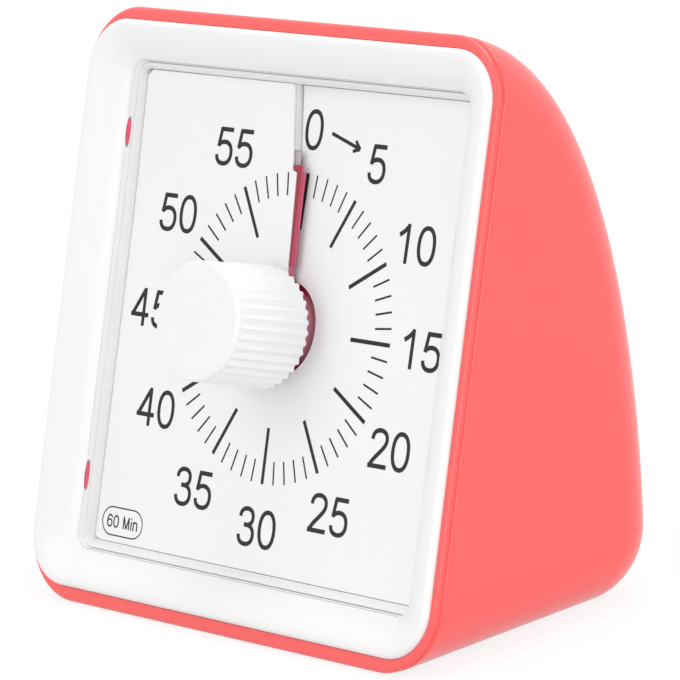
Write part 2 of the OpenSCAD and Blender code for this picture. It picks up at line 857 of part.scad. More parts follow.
module stator() {
    low = -15.5;
    bar = 3;
    color(steel) on_face() difference() {
        translate([0, 0, stator_n]) linear_extrude(stator_t) {
            translate([coil_x - 1.5, rotor_pos[1] - 3.4])
                square([rotor_pos[0] + 3.2 - coil_x + 1.5, 6.8]);
            translate([coil_x - 1, low]) square([2, 20]);
            translate([coil_x - 1.5, low]) square([rotor_pos[0] + 3 - coil_x, bar]);
            translate([rotor_pos[0] - 1.5, low]) square([bar, rotor_pos[1] - low]);
        }
        rod(rotor_pos, 2.5, stator_n - 1, stator_n + 2);
    }
}

module coil() {
    mid = stator_n + stator_t / 2;
    color([0.72, 0.4, 0.2]) on_face() difference() {
        translate([coil_x, coil_low, mid]) rotate([-90, 0, 0]) {
            cylinder(r = 2.2, h = coil_len, $fn = 96);
            cylinder(r = 2.65, h = 0.7, $fn = 96);
            translate([0, 0, coil_len - 0.7]) cylinder(r = 2.65, h = 0.7, $fn = 96);
        }
        translate([coil_x - 1.05, coil_low - 1, stator_n - 0.05])
            cube([2.1, coil_len + 2, stator_t + 0.1]);
    }
}

module circuit_board() {
    color([0.1, 0.4, 0.22]) on_face() difference() {
        translate([-4, -18, board_n]) cube([21.5, 8.2, board_t]);
        rod([3, -16.6], 0.4, board_n - 1, board_n + 2);
        rod([11, -16.6], 0.4, board_n - 1, board_n + 2);
    }
}

module quartz_crystal() {
    can_r = 1;
    color(steel) on_face() translate([-3, -12.2, board_n - can_r - 0.02]) rotate([0, 90, 0]) {
        cylinder(r = can_r, h = 6, $fn = 96);
        translate([0, 0, -0.4]) cylinder(r = can_r * 0.8, h = 0.5, $fn = 96);
    }
}

module control_chip() {
    color([0.1, 0.1, 0.11]) on_face() {
        translate([7, -15.5, board_n - 1.3]) cube([5, 4, 1.2]);
        for (k = [0:3]) for (y = [-16.3, -11.6])
            translate([7.45 + 1.2 * k, y, board_n - 0.5]) cube([0.5, 0.9, 0.48]);
    }
}

module buzzer() {
    color([0.12, 0.12, 0.13]) on_back(0, buzz_t) difference() {
        translate([0, 0, buzz_top - buzz_h]) cylinder(r = buzz_r, h = buzz_h, $fn = 96);
        translate([0, 0, buzz_top - 1]) cylinder(r = 1.6, h = 2, $fn = 96);
    }
}

module battery() {
    color([0.2, 0.22, 0.26]) translate([-cell_l / 2, cell_y, cell_z]) rotate([0, 90, 0]) {
        cylinder(r = cell_r, h = cell_l - nub_l, $fn = 96);
        cylinder(r = 2.75, h = cell_l, $fn = 96);
    }
}

// Door cut from the back wall's own form, with a finger notch
module battery_door() {
    color(coral) difference() {
        intersection() {
            case_form(0, sole_dip);
            door_box(0);
        }
        case_form(wall, 0);
        translate([0, back_y, door_top - notch_r]) rotate([-90, 0, 0])
            cylinder(r = notch_r, h = notch_r, $fn = 96);
    }
}

// Coil spring on its leaf, pushing on the flat end of the cell
module contact_spring() {
    turns = 3.5;
    base_x = -minus_wall + 0.05;
    run = minus_wall - cell_l / 2 - leaf_t - leaf_gap - 0.3 - 2 * spring_wire;
    sections = [
        for (k = [0:turns * 16])
            let (f = k / (turns * 16), a = 360 * turns * f, r = 4.6 - 1.6 * f)
            [for (q = [0:5]) [
                base_x + leaf_t + spring_wire * 0.6 + run * f + spring_wire * sin(60 * q),
                cell_y + (r + spring_wire * cos(60 * q)) * cos(a),
                cell_z + (r + spring_wire * cos(60 * q)) * sin(a)
            ]]
    ];
    color(steel) {
        translate([base_x, cell_y - 6, cell_z - 6]) cube([leaf_t, 12, 12]);
        swept(sections, false);
    }
}

module contact_plate() {
    x = plus_wall - 0.05 - leaf_t;
    dimple = x - cell_l / 2 - leaf_gap;
    color(steel) {
        translate([x, cell_y - 6, cell_z - 6]) cube([leaf_t, 12, 12]);
        translate([x - dimple, cell_y, cell_z]) rotate([0, 90, 0])
            cylinder(r1 = 1.6, r2 = 2.6, h = dimple + 0.1, $fn = 96);
    }
}

module slide_switch() {
    top = -wall - 0.35;
    deep = 3.4;
    long = stem_w - 1 + 2 * (travel + switch_room);
    color(steel) on_back(switch_x, buzz_t) difference() {
        translate([-5.9, -2.3, top - deep]) cube([11.8, 4.6, deep]);
        translate([-long / 2, -0.9, top - 1.4]) cube([long, 1.8, 2]);
    }
}

module switch_slider() {
    top = -wall - 0.35;
    color([0.12, 0.12, 0.13]) on_back(switch_x, buzz_t) {
        translate([-stem_w / 2, -stem_h / 2, top + 0.1]) cube([stem_w, stem_h, wall + 0.75]);
        translate([(1 - stem_w) / 2, -0.7, top - 1.2]) cube([stem_w - 1, 1.4, 1.4]);
        for (x = [-1.6, -0.2, 1.2])
            translate([x, -stem_h / 2, 0.4]) cube([0.4, stem_h, 0.4]);
    }
}

module tray_screws() {
    seat = flange_top - flange_t;
    color(steel) on_face() for (p = boss_places()) difference() {
        union() {
            rod(p, screw_r, seat - 0.3, seat_n - 0.9);
            rod(p, head_r, seat - head_t, seat - 0.02);
        }
        translate([p[0] - 0.15, p[1] - 1.5, seat - head_t - 0.1]) cube([0.3, 3, 0.4]);
    }
}

module movement_screws() {
    color(steel) on_face() for (p = post_places()) difference() {
        union() {
            rod(p, fix_r, move_back - 0.3, fix_tip);
            rod(p, fix_head_r, move_back - 0.8, move_back - 0.02);
        }
        translate([p[0] - 0.2, p[1] - 2, move_back - 0.9]) cube([0.4, 4, 0.45]);
    }
}

housing();
front_bezel();
dial_tray();
dial_card();
time_disc();
disc_pointer();
disc_hub();
knob();
knob_spindle();
clutch_spring();
movement_plate();
movement_cover();
centre_wheel();
third_wheel();
second_wheel();
step_wheel();
rotor();
stator();
coil();
circuit_board();
quartz_crystal();
control_chip();
buzzer();
battery();
battery_door();
contact_spring();
contact_plate();
slide_switch();
switch_slider();
tray_screws();
movement_screws();
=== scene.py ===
import math
import bmesh
import bpy
from mathutils import Euler, Matrix, Vector


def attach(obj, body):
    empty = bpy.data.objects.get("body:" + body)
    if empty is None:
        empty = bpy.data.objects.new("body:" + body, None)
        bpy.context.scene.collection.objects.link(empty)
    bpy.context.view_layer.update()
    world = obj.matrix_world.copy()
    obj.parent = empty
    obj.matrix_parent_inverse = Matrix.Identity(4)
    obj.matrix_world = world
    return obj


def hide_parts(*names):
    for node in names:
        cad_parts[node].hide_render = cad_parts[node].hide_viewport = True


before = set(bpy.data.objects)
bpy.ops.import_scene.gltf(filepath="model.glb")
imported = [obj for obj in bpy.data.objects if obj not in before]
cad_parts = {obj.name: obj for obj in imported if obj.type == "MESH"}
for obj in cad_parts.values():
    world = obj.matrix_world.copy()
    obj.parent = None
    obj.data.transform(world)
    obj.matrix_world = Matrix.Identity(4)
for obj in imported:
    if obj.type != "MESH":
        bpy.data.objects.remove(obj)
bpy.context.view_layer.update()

# ---------------------------------------------------------------- sizes, in millimetres
# _X is half a width, _TOP and _BOT a reach above and below the dial's centre, _R a radius, _N a
# height out of the dial's plane, _T a place along the back's curve from 0 at the top to 1
MM = 0.001
TILT = math.radians(17.8)
CA, SA = math.cos(TILT), math.sin(TILT)
# Case: outer form, wall, rim round the face and the skin that runs up to its groove
HALF_W, FACE_TOP, CASE_D, SOLE_CUT = 39.3, 39.7, 45.0, 0.7
EDGE_R, FRONT_R = 8.0, 9.3
HEEL_R, LEAN = 10.0, math.radians(5.0)
TOP_PULL, BACK_PULL = 21.7, 23.3
WALL = 2.2
RIM_N, RIM_ROUND = 5.3, 0.7
SKIN_N, FOOT_RISE = 2.6, 0.38
DIAL_Z = FACE_TOP * CA - SOLE_CUT
DIAL_Y = -CASE_D / 2 + (RIM_N + DIAL_Z * SA) / CA
# Front frame, from its outer edge to the window, and what lies behind it
FRAME_X, FRAME_TOP, FRAME_BOT, FRAME_R, FRAME_N = 38.33, 37.95, 38.3, 6.9, 6.16
WIN_X, WIN_TOP, WIN_BOT, WIN_R, WIN_N = 32.1, 32.65, 33.0, 1.9, 2.8
SEAT_N, SKIRT_N = 3.0, -0.6
# Card, with CARD_T its thickness, and the tray that holds it
CARD_X, CARD_Y, CARD_R, CARD_N, CARD_T = 31.1, 31.65, 0.5, 0.5, 0.3
TRAY_N, TRAY_IN_N, TRAY_BACK, TRAY_FLOOR = 2.0, 1.0, -3.7, 1.5
# Slit: its direction, half its opening, the card's turn on either side that bends with it, the
# radii between which it steps aside, and the dip of the card's edge that lets the film out
SLIT_DEG, SLIT_HALF, BEND = -1.7, 0.3, 30.0
JOG_IN, JOG_OUT = 20.28, 20.6
HOLE_R, DISC_R, WELL_R = 6.15, 23.1, 23.5
DIP, DIP_DEG = 1.4, 155.0
# Film: half its thickness, its height at 0, its rise in one turn, the radius of its cut-back lead
FILM_HALF, FILM_N, RISE, LEAD_R, FILM_IN = 0.075, 0.025, 1.7, 21.35, 5.05
KNOB_R, KNOB_DRAFT, KNOB_N, KNOB_TOP, COLLAR_N = 8.1, 0.35, 2.9, 15.2, 14.55
KNOB_WALL, FLUTES, FLUTE_DEEP, SPINDLE_R = 8.07, 36, 0.5, 1.22
LUGS, LUG_HALF, LUG_LOW = (22.95, -23.4), 1.65, 1.5
# Left, then right: top of the lugs and middle of the slots they look out of
LUG_TOP, SLOT_N = {-1: 2.9, 1: 2.7}, {-1: 2.66, 1: 2.36}
SLOT_R, SLOT_FLAT = 2.2, 0.17
# Band of painted shade just outside the window's edge: its near and far distance from it
SHADE_LINE_NEAR, SHADE_LINE_FAR = 0.09, 0.14
# Back: door with its finger notch, sound holes, slot of the switch, middle of the cell
DOOR_X, DOOR_LOW, DOOR_TOP, DOOR_GAP, DOOR_DEEP, NOTCH_R = 30.3, 7.4, 23.0, 0.2, 8.6, 4.0
BUZZ_T, BUZZ_HOLE, BUZZ_RING, SWITCH_X = 0.62, 0.8, 3.6, -25.0
CELL_Y = CASE_D / 2 - 10.02
# Print: the ticks' outer and inner ends and the ring the numerals are centred on
TICK_OUT, TICK_MAJOR, TICK_MINOR, FIGURE_R = 20.334, 12.99, 17.32, 26.1

# Spaces: ROW for points of the row frame in mm, FACE for (across, up the face, out of it) in mm
ROW = Matrix.Scale(MM, 4)
FACE = ROW @ Matrix(((1, 0, 0, 0), (0, SA, -CA, DIAL_Y), (0, CA, SA, DIAL_Z), (0, 0, 0, 1)))


def turn(deg):
    """Sine and cosine of an angle in degrees."""
    return math.sin(math.radians(deg)), math.cos(math.radians(deg))


# ---------------------------------------------------------------- shapes
def grid(rows, wrap_row=False, wrap_col=False):
    """A bmesh grid bent over rows of points; a wrapped direction is welded into a ring."""
    m, k = len(rows[0]), len(rows)
    nu, nv = m - (not wrap_row), k - (not wrap_col)
    bm = bmesh.new()
    bmesh.ops.create_grid(bm, x_segments=nu, y_segments=nv, size=0.5)
    for v in bm.verts:
        i, j = round((v.co.x + 0.5) * nu), round((v.co.y + 0.5) * nv)
        v.co = rows[j % k][i % m]
    if wrap_row or wrap_col:
        weld(bm, 1e-5)
    return bm


def weld(bm, dist=0.004):
    bmesh.ops.remove_doubles(bm, verts=bm.verts, dist=dist)
    return bm


def capped(bm):
    """Fills every open edge loop."""
    bmesh.ops.holes_fill(bm, edges=[e for e in bm.edges if e.is_boundary], sides=0)
    return bm


def merged(*parts):
    """Several bmeshes as one."""
    bm = bmesh.new()
    for part in parts:
        mesh = bpy.data.meshes.new("part")
        part.to_mesh(mesh)
        part.free()
        bm.from_mesh(mesh)
        bpy.data.meshes.remove(mesh)
    return bm


def box(x0, x1, y0, y1, z0, z1, edge=0.0):
    """Box with softened edges."""
    bm = bmesh.new()
    size = Matrix.Diagonal((x1 - x0, y1 - y0, z1 - z0, 1))
    mid = Matrix.Translation(((x0 + x1) / 2, (y0 + y1) / 2, (z0 + z1) / 2))
    bmesh.ops.create_cube(bm, size=1.0, matrix=mid @ size)
    if edge:
        bmesh.ops.bevel(bm, geom=list(bm.edges), offset=edge, segments=3, profile=0.5,
                        affect="EDGES", material=-1)
    return bm


def rod(x, y, r, z0, z1, steps=48):
    """Upright round bar."""
    bm = bmesh.new()
    bmesh.ops.create_cone(bm, cap_ends=True, segments=steps, radius1=r, radius2=r, depth=z1 - z0,
                          matrix=Matrix.Translation((x, y, (z0 + z1) / 2)))
    return bm


def spun(profile, steps=96, centre=(0.0, 0.0)):
    """Profile of (radius, height) spun once round the upright line through centre."""
    bm = bmesh.new()
    verts = [bm.verts.new((centre[0] + r, centre[1], z)) for r, z in profile]
    edges = [bm.edges.new(pair) for pair in zip(verts, verts[1:])]
    bmesh.ops.spin(bm, geom=verts + edges, cent=(*centre, 0), axis=(0, 0, 1), angle=2 * math.pi,
                   steps=steps, use_merge=True)
    return weld(bm, 1e-4)


def slab(outline, low, high, edge=0.0):
    """Flat solid over an outline of (x, y), its upper edge softened."""
    bm = bmesh.new()
    base = bm.faces.new([bm.verts.new((x, y, low)) for x, y in outline])
    grown = bmesh.ops.extrude_face_region(bm, geom=[base])["geom"]
    bmesh.ops.translate(bm, vec=(0, 0, high - low),
                        verts=[g for g in grown if isinstance(g, bmesh.types.BMVert)])
    if edge:
        rim = [g for g in grown if isinstance(g, bmesh.types.BMEdge)]
        bmesh.ops.bevel(bm, geom=rim, offset=edge, segments=3, profile=0.5, affect="EDGES",
                        material=-1)
    return bm


def cut(bm, tool, mode="DIFFERENCE"):
    """Boolean of two bmeshes; both are used up."""
    pair = []
    for part in (bm, tool):
        bmesh.ops.recalc_face_normals(part, faces=part.faces)
        mesh = bpy.data.meshes.new("cut")
        part.to_mesh(mesh)
        part.free()
        pair.append(bpy.data.objects.new("cut", mesh))
        bpy.context.collection.objects.link(pair[-1])
    mod = pair[0].modifiers.new("cut", "BOOLEAN")
    mod.operation, mod.solver, mod.object = mode, "EXACT", pair[1]
    deps = bpy.context.evaluated_depsgraph_get()
    done = bpy.data.meshes.new_from_object(pair[0].evaluated_get(deps))
    out = bmesh.new()
    out.from_mesh(done)
    bpy.data.meshes.remove(done)
    for obj in pair:
        bpy.data.meshes.remove(obj.data)
    return out


def second_look(bm):
    """Gives all faces the second material of the piece they end up in."""
    for f in bm.faces:
        f.material_index = 1
    return bm


def piece(name, bm, space, body, node_name, mats, smooth=32.0, hides=True):
    """Object from a bmesh: moved to the row frame, edges sharper than smooth (degrees) kept
    crisp. It rides on body, and stands in for the node node_name if hides is set."""
    bmesh.ops.transform(bm, matrix=space, verts=bm.verts)
    bmesh.ops.recalc_face_normals(bm, faces=bm.faces)
    for f in bm.faces:
        f.smooth = smooth > 0
    for e in bm.edges:
        e.smooth = not (e.is_manifold and e.calc_face_angle(0.0) > math.radians(smooth))
    mesh = bpy.data.meshes.new(name)
    bm.to_mesh(mesh)
    bm.free()
    obj = bpy.data.objects.new(name, mesh)
    bpy.context.collection.objects.link(obj)
    for m in mats:
        mesh.materials.append(m)
    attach(obj, body)
    if hides:
        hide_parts(node_name)
    return obj


def rounded(x, top, bot, r, n, steps=12, along=0):
    """Rounded rectangle parallel to the face, anticlockwise, its sides split along their length."""
    pts = []
    for q in range(4):
        sx = 1 if q in (0, 3) else -1
        cy = top - r if q < 2 else r - bot
        for k in range(steps + 1):
            s, c = turn(90 * (q + k / steps))
            pts.append(Vector((sx * (x - r) + r * c, cy + r * s, n)))
    if along:
        split, count = [], steps + 1
        for q in range(4):
            split += pts[q * count:(q + 1) * count]
            a, b = split[-1], pts[(q + 1) * count % len(pts)]
            split += [a.lerp(b, k / along) for k in range(1, along)]
        pts = split
    return pts


# ---------------------------------------------------------------- materials
def linear(hex_colour):
    """Linear RGBA of an sRGB colour such as '#ff6b69'."""
    out = []
    for i in (1, 3, 5):
        c = int(hex_colour[i:i + 2], 16) / 255
        out.append(c / 12.92 if c <= 0.04045 else ((c + 0.055) / 1.055) ** 2.4)
    return (*out, 1.0)


def node(tree, kind, inputs=None, **settings):
    """Shader node with its inputs set to values or linked to sockets."""
    n = tree.nodes.new(kind)
    for key, value in settings.items():
        setattr(n, key, value)
    for key, value in (inputs or {}).items():
        if isinstance(value, bpy.types.NodeSocket):
            tree.links.new(value, n.inputs[key])
        else:
            n.inputs[key].default_value = value
    return n


def plastic(name, colour, rough, size_mm, height_mm, spread=0.03, shade=0.02, **extra):
    """Moulded plastic: fine mould grain of real size, gloss and tone a little uneven."""
    mat = bpy.data.materials.new(name)
    mat.use_nodes = True
    tree = mat.node_tree
    shader = tree.nodes["Principled BSDF"]
    coord = node(tree, "ShaderNodeTexCoord").outputs["Object"]
    fine = node(tree, "ShaderNodeTexNoise", {
        "Vector": coord, "Scale": 1 / (size_mm * MM), "Detail": 2.0})
    wide = node(tree, "ShaderNodeTexNoise", {"Vector": coord, "Scale": 60.0, "Detail": 3.0})
    bump = node(tree, "ShaderNodeBump", {
        "Height": fine.outputs["Fac"], "Distance": height_mm * MM, "Strength": 1.0})
    gloss = node(tree, "ShaderNodeMapRange", {
        "Value": wide.outputs["Fac"], "To Min": rough - spread, "To Max": rough + spread})
    tone = node(tree, "ShaderNodeMapRange", {
        "Value": wide.outputs["Fac"], "To Min": 1 - shade, "To Max": 1 + shade})
    tint = node(tree, "ShaderNodeHueSaturation", {
        "Value": tone.outputs["Result"], "Color": linear(colour)})
    tree.links.new(tint.outputs["Color"], shader.inputs["Base Color"])
    tree.links.new(gloss.outputs["Result"], shader.inputs["Roughness"])
    tree.links.new(bump.outputs["Normal"], shader.inputs["Normal"])
    for key, value in extra.items():
        shader.inputs[key.replace("_", " ")].default_value = value
    return mat


# Coral ABS of the shell: a finely grained mould under a thin gloss, so the broad soft highlights
# have a clearer core
coral = plastic("coral_abs", "#ff5f5e", 0.36, 0.35, 0.001, Specular_IOR_Level=0.45,
                Coat_Weight=0.35, Coat_Roughness=0.14)
# The same plastic on the lugs, with painted shade: pinker and deeper, as it is only seen at the
# bottom of a slot
lug_coral_painted_shade = plastic("coral_abs_lugs_painted_shade", "#e85878", 0.45, 0.35, 0.001)
# White ABS of front frame and knob: a smoother mould, so a cleaner sheen on the rounded edges
white = plastic("white_abs", "#f5f5f5", 0.32, 0.5, 0.0006, shade=0.004, Specular_IOR_Level=0.45)
# Painted shade: a thin line of duller grey just outside the window's edge, standing in for the
# shadow line at the lip; the right-hand side has none
shade_line = plastic("white_abs_painted_shade_line", "#c4c4c4", 0.6, 0.4, 0.0008, shade=0.004)
# Tray of the same white, a little duller between window and card
tray_white = plastic("white_tray", "#efefef", 0.42, 0.4, 0.0008, shade=0.004)
# Printed card: matt coated sheet with no highlight of its own
card_white = plastic("dial_card", "#f6f6f6", 0.55, 0.2, 0.0003, shade=0.004,
                     Specular_IOR_Level=0.3)
# Silk-screened ink, nearly black and slightly raised in gloss
ink = plastic("dial_ink", "#262628", 0.5, 0.12, 0.0004, Specular_IOR_Level=0.3)
# Red film of the disc: thin and glossy, so it mirrors the white card above it
film = plastic("red_film", "#b02340", 0.18, 0.6, 0.0004, Specular_IOR_Level=0.7)
# Red pointer bar, moulded and glossy
pointer_red = plastic("pointer_red", "#9c1a34", 0.22, 0.4, 0.0006, Specular_IOR_Level=0.6)
# Painted glow on the cut side of the bar and its foot: pale pink, as if light came through the
# plastic and paled it
pointer_painted_glow = plastic("pointer_cut_side_painted_glow", "#d0607c", 0.3, 0.4, 0.0006)
# Leading end of the film, unprinted, so only a breath of mauve over the white tray; its grey is
# painted shade and reflection of the film seen in the slit's shadow
film_lead_painted_shade = plastic("film_lead_painted_shade", "#bfaeb3", 0.25, 0.6, 0.0004)
# Hub seen through the card's hole: duller, towards mauve, and paled as painted light that lifts it
# out of the knob's shadow
hub_red_painted_light = plastic("hub_red_painted_light", "#dd8fa4", 0.4, 0.3, 0.0008)
# Dark plastic of movement cover, buzzer and switch: grained, hides dust marks
dark_plastic = plastic("dark_plastic", "#1c1d20", 0.5, 0.3, 0.001, 0.04)
# Sheet steel of springs, contacts and screws: rolled, with fine streaks in its gloss
steel = plastic("steel", "#b9bbc0", 0.3, 0.15, 0.0004, 0.07, Metallic=1.0)
# Brass of the wheels: stamped, a warm dull gloss
brass = plastic("brass", "#c9a45c", 0.32, 0.15, 0.0004, 0.07, Metallic=1.0)
# Enamelled copper wire, its turns felt as a fine bump
copper = plastic("copper_wire", "#b8703a", 0.38, 0.2, 0.01, 0.05, Metallic=0.8)
# Solder mask of the board: green lacquer over traces
green = plastic("solder_mask", "#12602f", 0.35, 0.8, 0.002, 0.06, 0.08)
# Ivory acetal of plate and step wheel: unpainted, a little translucent to the eye
ivory = plastic("ivory_plastic", "#e6e4da", 0.45, 0.3, 0.0008, 0.04)
# Printed sleeve of the cell: smooth shrunk film
cell_skin = plastic("cell_sleeve", "#2d3a52", 0.28, 1.2, 0.001, 0.04)


# ---------------------------------------------------------------- shell
ARC = 14
SIDE = [(-1, -90 + 90 * k / ARC) for k in range(ARC + 1)]
SIDE += [(1, 90 * k / ARC) for k in range(ARC + 1)]


def curve_at(t):
    """Back's curve at t, top to heel: place and outward normal in the side view."""
    p0 = Vector((DIAL_Y + FACE_TOP * SA - RIM_N * CA, DIAL_Z + FACE_TOP * CA + RIM_N * SA))
    p3 = Vector((CASE_D / 2, HEEL_R * (1 - math.sin(LEAN))))
    p1 = p0 + TOP_PULL * Vector((CA, -SA))
    p2 = p3 + BACK_PULL * Vector((math.sin(LEAN), math.cos(LEAN)))
    s = 1 - t
    q = s ** 3 * p0 + 3 * s * s * t * p1 + 3 * s * t * t * p2 + t ** 3 * p3
    d = s * s * (p1 - p0) + 2 * s * t * (p2 - p1) + t * t * (p3 - p2)
    d.normalize()
    return q, Vector((-d[1], d[0]))


def edge_point(q, normal, r, side, deg, inset):
    """Point of the rounded form beside the curve, with corner radius r, moved in by inset."""
    s, c = turn(deg)
    p = q - normal * (r - (r - inset) * c)
    return Vector((side * (HALF_W - r) + (r - inset) * s, p[0], p[1]))


def top_radius(t):
    """Corner radius along the top curve: wider at the front rim than behind it."""
    return EDGE_R + (FRONT_R - EDGE_R) * max(0.0, 1 - max(t, 0.0) / 0.12) ** 2


def skin_at(t, side, deg, inset):
    """Point of the form over its top curve."""
    q, normal = curve_at(t)
    return edge_point(q, normal, top_radius(t), side, deg, inset)


def height_out(p):
    """Distance of a row point out of the dial's plane."""
    return -(p[1] - DIAL_Y) * CA + (p[2] - DIAL_Z) * SA


def crossing(n, side, deg, inset):
    """The t at which the form's top crosses the plane n."""
    low, high = -0.2, 0.5
    for _ in range(40):
        mid = (low + high) / 2
        if height_out(skin_at(mid, side, deg, inset)) > n:
            low = mid
        else:
            high = mid
    return high


def on_plane(x, u, n):
    """Row point from across, up the face and out of it."""
    return Vector((x, DIAL_Y + u * SA - n * CA, DIAL_Z + u * CA + n * SA))


def top_spot(n, side, deg, inset):
    """Across and up of the form's upper outline in the plane n."""
    p = skin_at(crossing(n, side, deg, inset), side, deg, inset)
    return p[0], (p[1] - DIAL_Y) * SA + (p[2] - DIAL_Z) * CA


def low_spot(n, side, deg, inset):
    """Across and up of the form's lower outline in the plane n, with the foot's rounding."""
    s, c = turn(deg)
    z = FRONT_R - (FRONT_R - inset) * c
    rise = FOOT_RISE * (max(0.0, n - SKIN_N) / (RIM_N - SKIN_N)) ** 2 * c
    return side * (HALF_W - FRONT_R) + (FRONT_R - inset) * s, (z - DIAL_Z - n * SA) / CA + rise


# Way round the form's outline: over the top, then back along the foot
STATIONS = [(side, deg, 1) for side, deg in SIDE]
STATIONS += [(side, deg, -1) for side, deg in reversed(SIDE)]


def outline(n, inset=0.0, shrink=0.0):
    """Closed outline of the form in the plane n, shrunk in that plane."""
    pts = []
    for side, deg, up in STATIONS:
        x, u = (top_spot if up > 0 else low_spot)(n, side, deg, inset)
        s, c = turn(deg)
        pts.append(on_plane(x - shrink * s, u - up * shrink * c, n))
    return pts


def room(x, u, wide, top, bot, radius, grow=0.0):
    """Distance of a point of the face from a rounded square, which grow makes larger."""
    r = radius + grow
    px = abs(x) - (wide + grow) + r
    mid, half = (top - bot) / 2, (top + bot) / 2 + grow
    pu = abs(u - mid) - half + r
    return math.hypot(max(px, 0), max(pu, 0)) + min(max(px, pu), 0) - r


def pocket_ring(grow, n):
    """Outline of the front frame's pocket in the plane n."""
    r, pts = FRAME_R + grow, []
    for side, deg, up in STATIONS:
        s, c = turn(deg)
        pu = FRAME_TOP + grow - r + r * c if up > 0 else r - FRAME_BOT - grow - r * c
        pts.append(on_plane(side * (FRAME_X + grow - r) + r * s, pu, n))
    return pts


def rim_rings(grow):
    """Rounded rim up to the frame's pocket, the pocket's wall and its seat. The round stops
    early where the pocket leaves no room for it."""
    rings = [[] for _ in range(9)]
    for side, deg, up in STATIONS:
        s, c = turn(deg)
        x, u = (top_spot if up > 0 else low_spot)(RIM_N - RIM_ROUND, side, deg, 0.0)
        left = max(0.0, room(x, u, FRAME_X, FRAME_TOP, FRAME_BOT, FRAME_R, grow) - 0.03)
        limit = math.degrees(math.acos(max(0.0, 1 - left / RIM_ROUND)))
        for k in range(9):
            sa, ca = turn(min(90 * k / 8, limit))
            shrink, n = RIM_ROUND * (1 - ca), RIM_N - RIM_ROUND * (1 - sa)
            ux = u if up > 0 else low_spot(n, side, deg, 0.0)[1]
            rings[k].append(on_plane(x - shrink * s, ux - up * shrink * c, n))
    rings[9:] = [pocket_ring(grow, RIM_N - 0.02), pocket_ring(grow, RIM_N - 0.35),
                 pocket_ring(-0.1, RIM_N - 0.35), pocket_ring(-0.1, SEAT_N), outline(SEAT_N, WALL)]
    return rings


def form(inset, n_front, steps=44):
    """Back, heel and sole of the form, moved in by inset, from the plane n_front back."""
    starts = [crossing(n_front, s, d, inset) for s, d in SIDE]
    rows = [
        [skin_at(t0 + (1 - t0) * k / steps, s, d, inset) for (s, d), t0 in zip(SIDE, starts)]
        for k in range(steps + 1)
    ]
    hc = Vector((CASE_D / 2 - HEEL_R * math.cos(LEAN), HEEL_R))
    for k in range(1, 13):
        b = LEAN + (math.pi / 2 - LEAN) * k / 12
        normal = Vector((math.cos(b), -math.sin(b)))
        spot = hc + normal * HEEL_R
        rows.append([edge_point(spot, normal, EDGE_R, s, d, inset) for s, d in SIDE])
    ends = [on_plane(*low_spot(n_front, s, d, inset), n_front) for s, d in SIDE]
    last = rows[-1]
    rows += [[a.lerp(b, k / 8) for a, b in zip(last, ends)] for k in range(1, 9)]
    return grid(rows)


def close_sides(bm, reach):
    """Flat sides, with a narrow border so that the round edge's shading stops there."""
    rim = [e for e in bm.edges
           if e.is_boundary and all(abs(v.co.x) > reach - 0.01 for v in e.verts)]
    made = bmesh.ops.holes_fill(bm, edges=rim, sides=0)["faces"]
    bmesh.ops.inset_individual(bm, faces=made, thickness=0.8)
    return bm


# Groove behind the rim: plane of the face and depth in it
GROOVE = [(SKIN_N, 0.0), (3.5, 0.0), (3.65, 0.01), (3.8, 0.06), (3.92, 0.16), (4.02, 0.3),
          (4.1, 0.4), (4.32, 0.4), (4.45, 0.34), (4.54, 0.18), (4.59, 0.03)]


def shell_body():
    """Case as one closed skin, outer and inner form joined along the rim."""
    rings = rim_rings(0.08)
    front = [outline(n, 0.0, d) for n, d in GROOVE] + rings[:9]
    outer = weld(merged(form(0.0, SKIN_N), grid(front, wrap_row=True)))
    inner = form(WALL, SEAT_N)
    outer = close_sides(outer, HALF_W)
    inner = weld(merged(inner, grid([rings[8], *rings[9:]], wrap_row=True)))
    inner = close_sides(inner, HALF_W - WALL)
    return weld(merged(outer, inner))


def back_space(x, t):
    """Space on the back at t: across, down along the curve and out of it."""
    q, normal = curve_at(t)
    down = Vector((normal[1], -normal[0]))
    return Matrix(((1, 0, 0, x), (0, down[0], normal[0], q[0]), (0, down[1], normal[1], q[1]),
                   (0, 0, 0, 1)))


def moved(bm, space):
    """The bmesh taken to another space."""
    bmesh.ops.transform(bm, matrix=space, verts=bm.verts)
    return bm


def lying(bm, x, y, z):
    """Turns an upright bar to lie along Y at a place."""
    return moved(bm, Matrix.Translation((x, y, z)) @ Matrix.Rotation(-math.pi / 2, 4, "X"))


def door_block(grow):
    """Block that takes the door out of the case, with a gap round it if grown."""
    y = CASE_D / 2 - DOOR_DEEP
    return box(-DOOR_X - grow, DOOR_X + grow, y, y + 20, DOOR_LOW - grow, DOOR_TOP + grow)


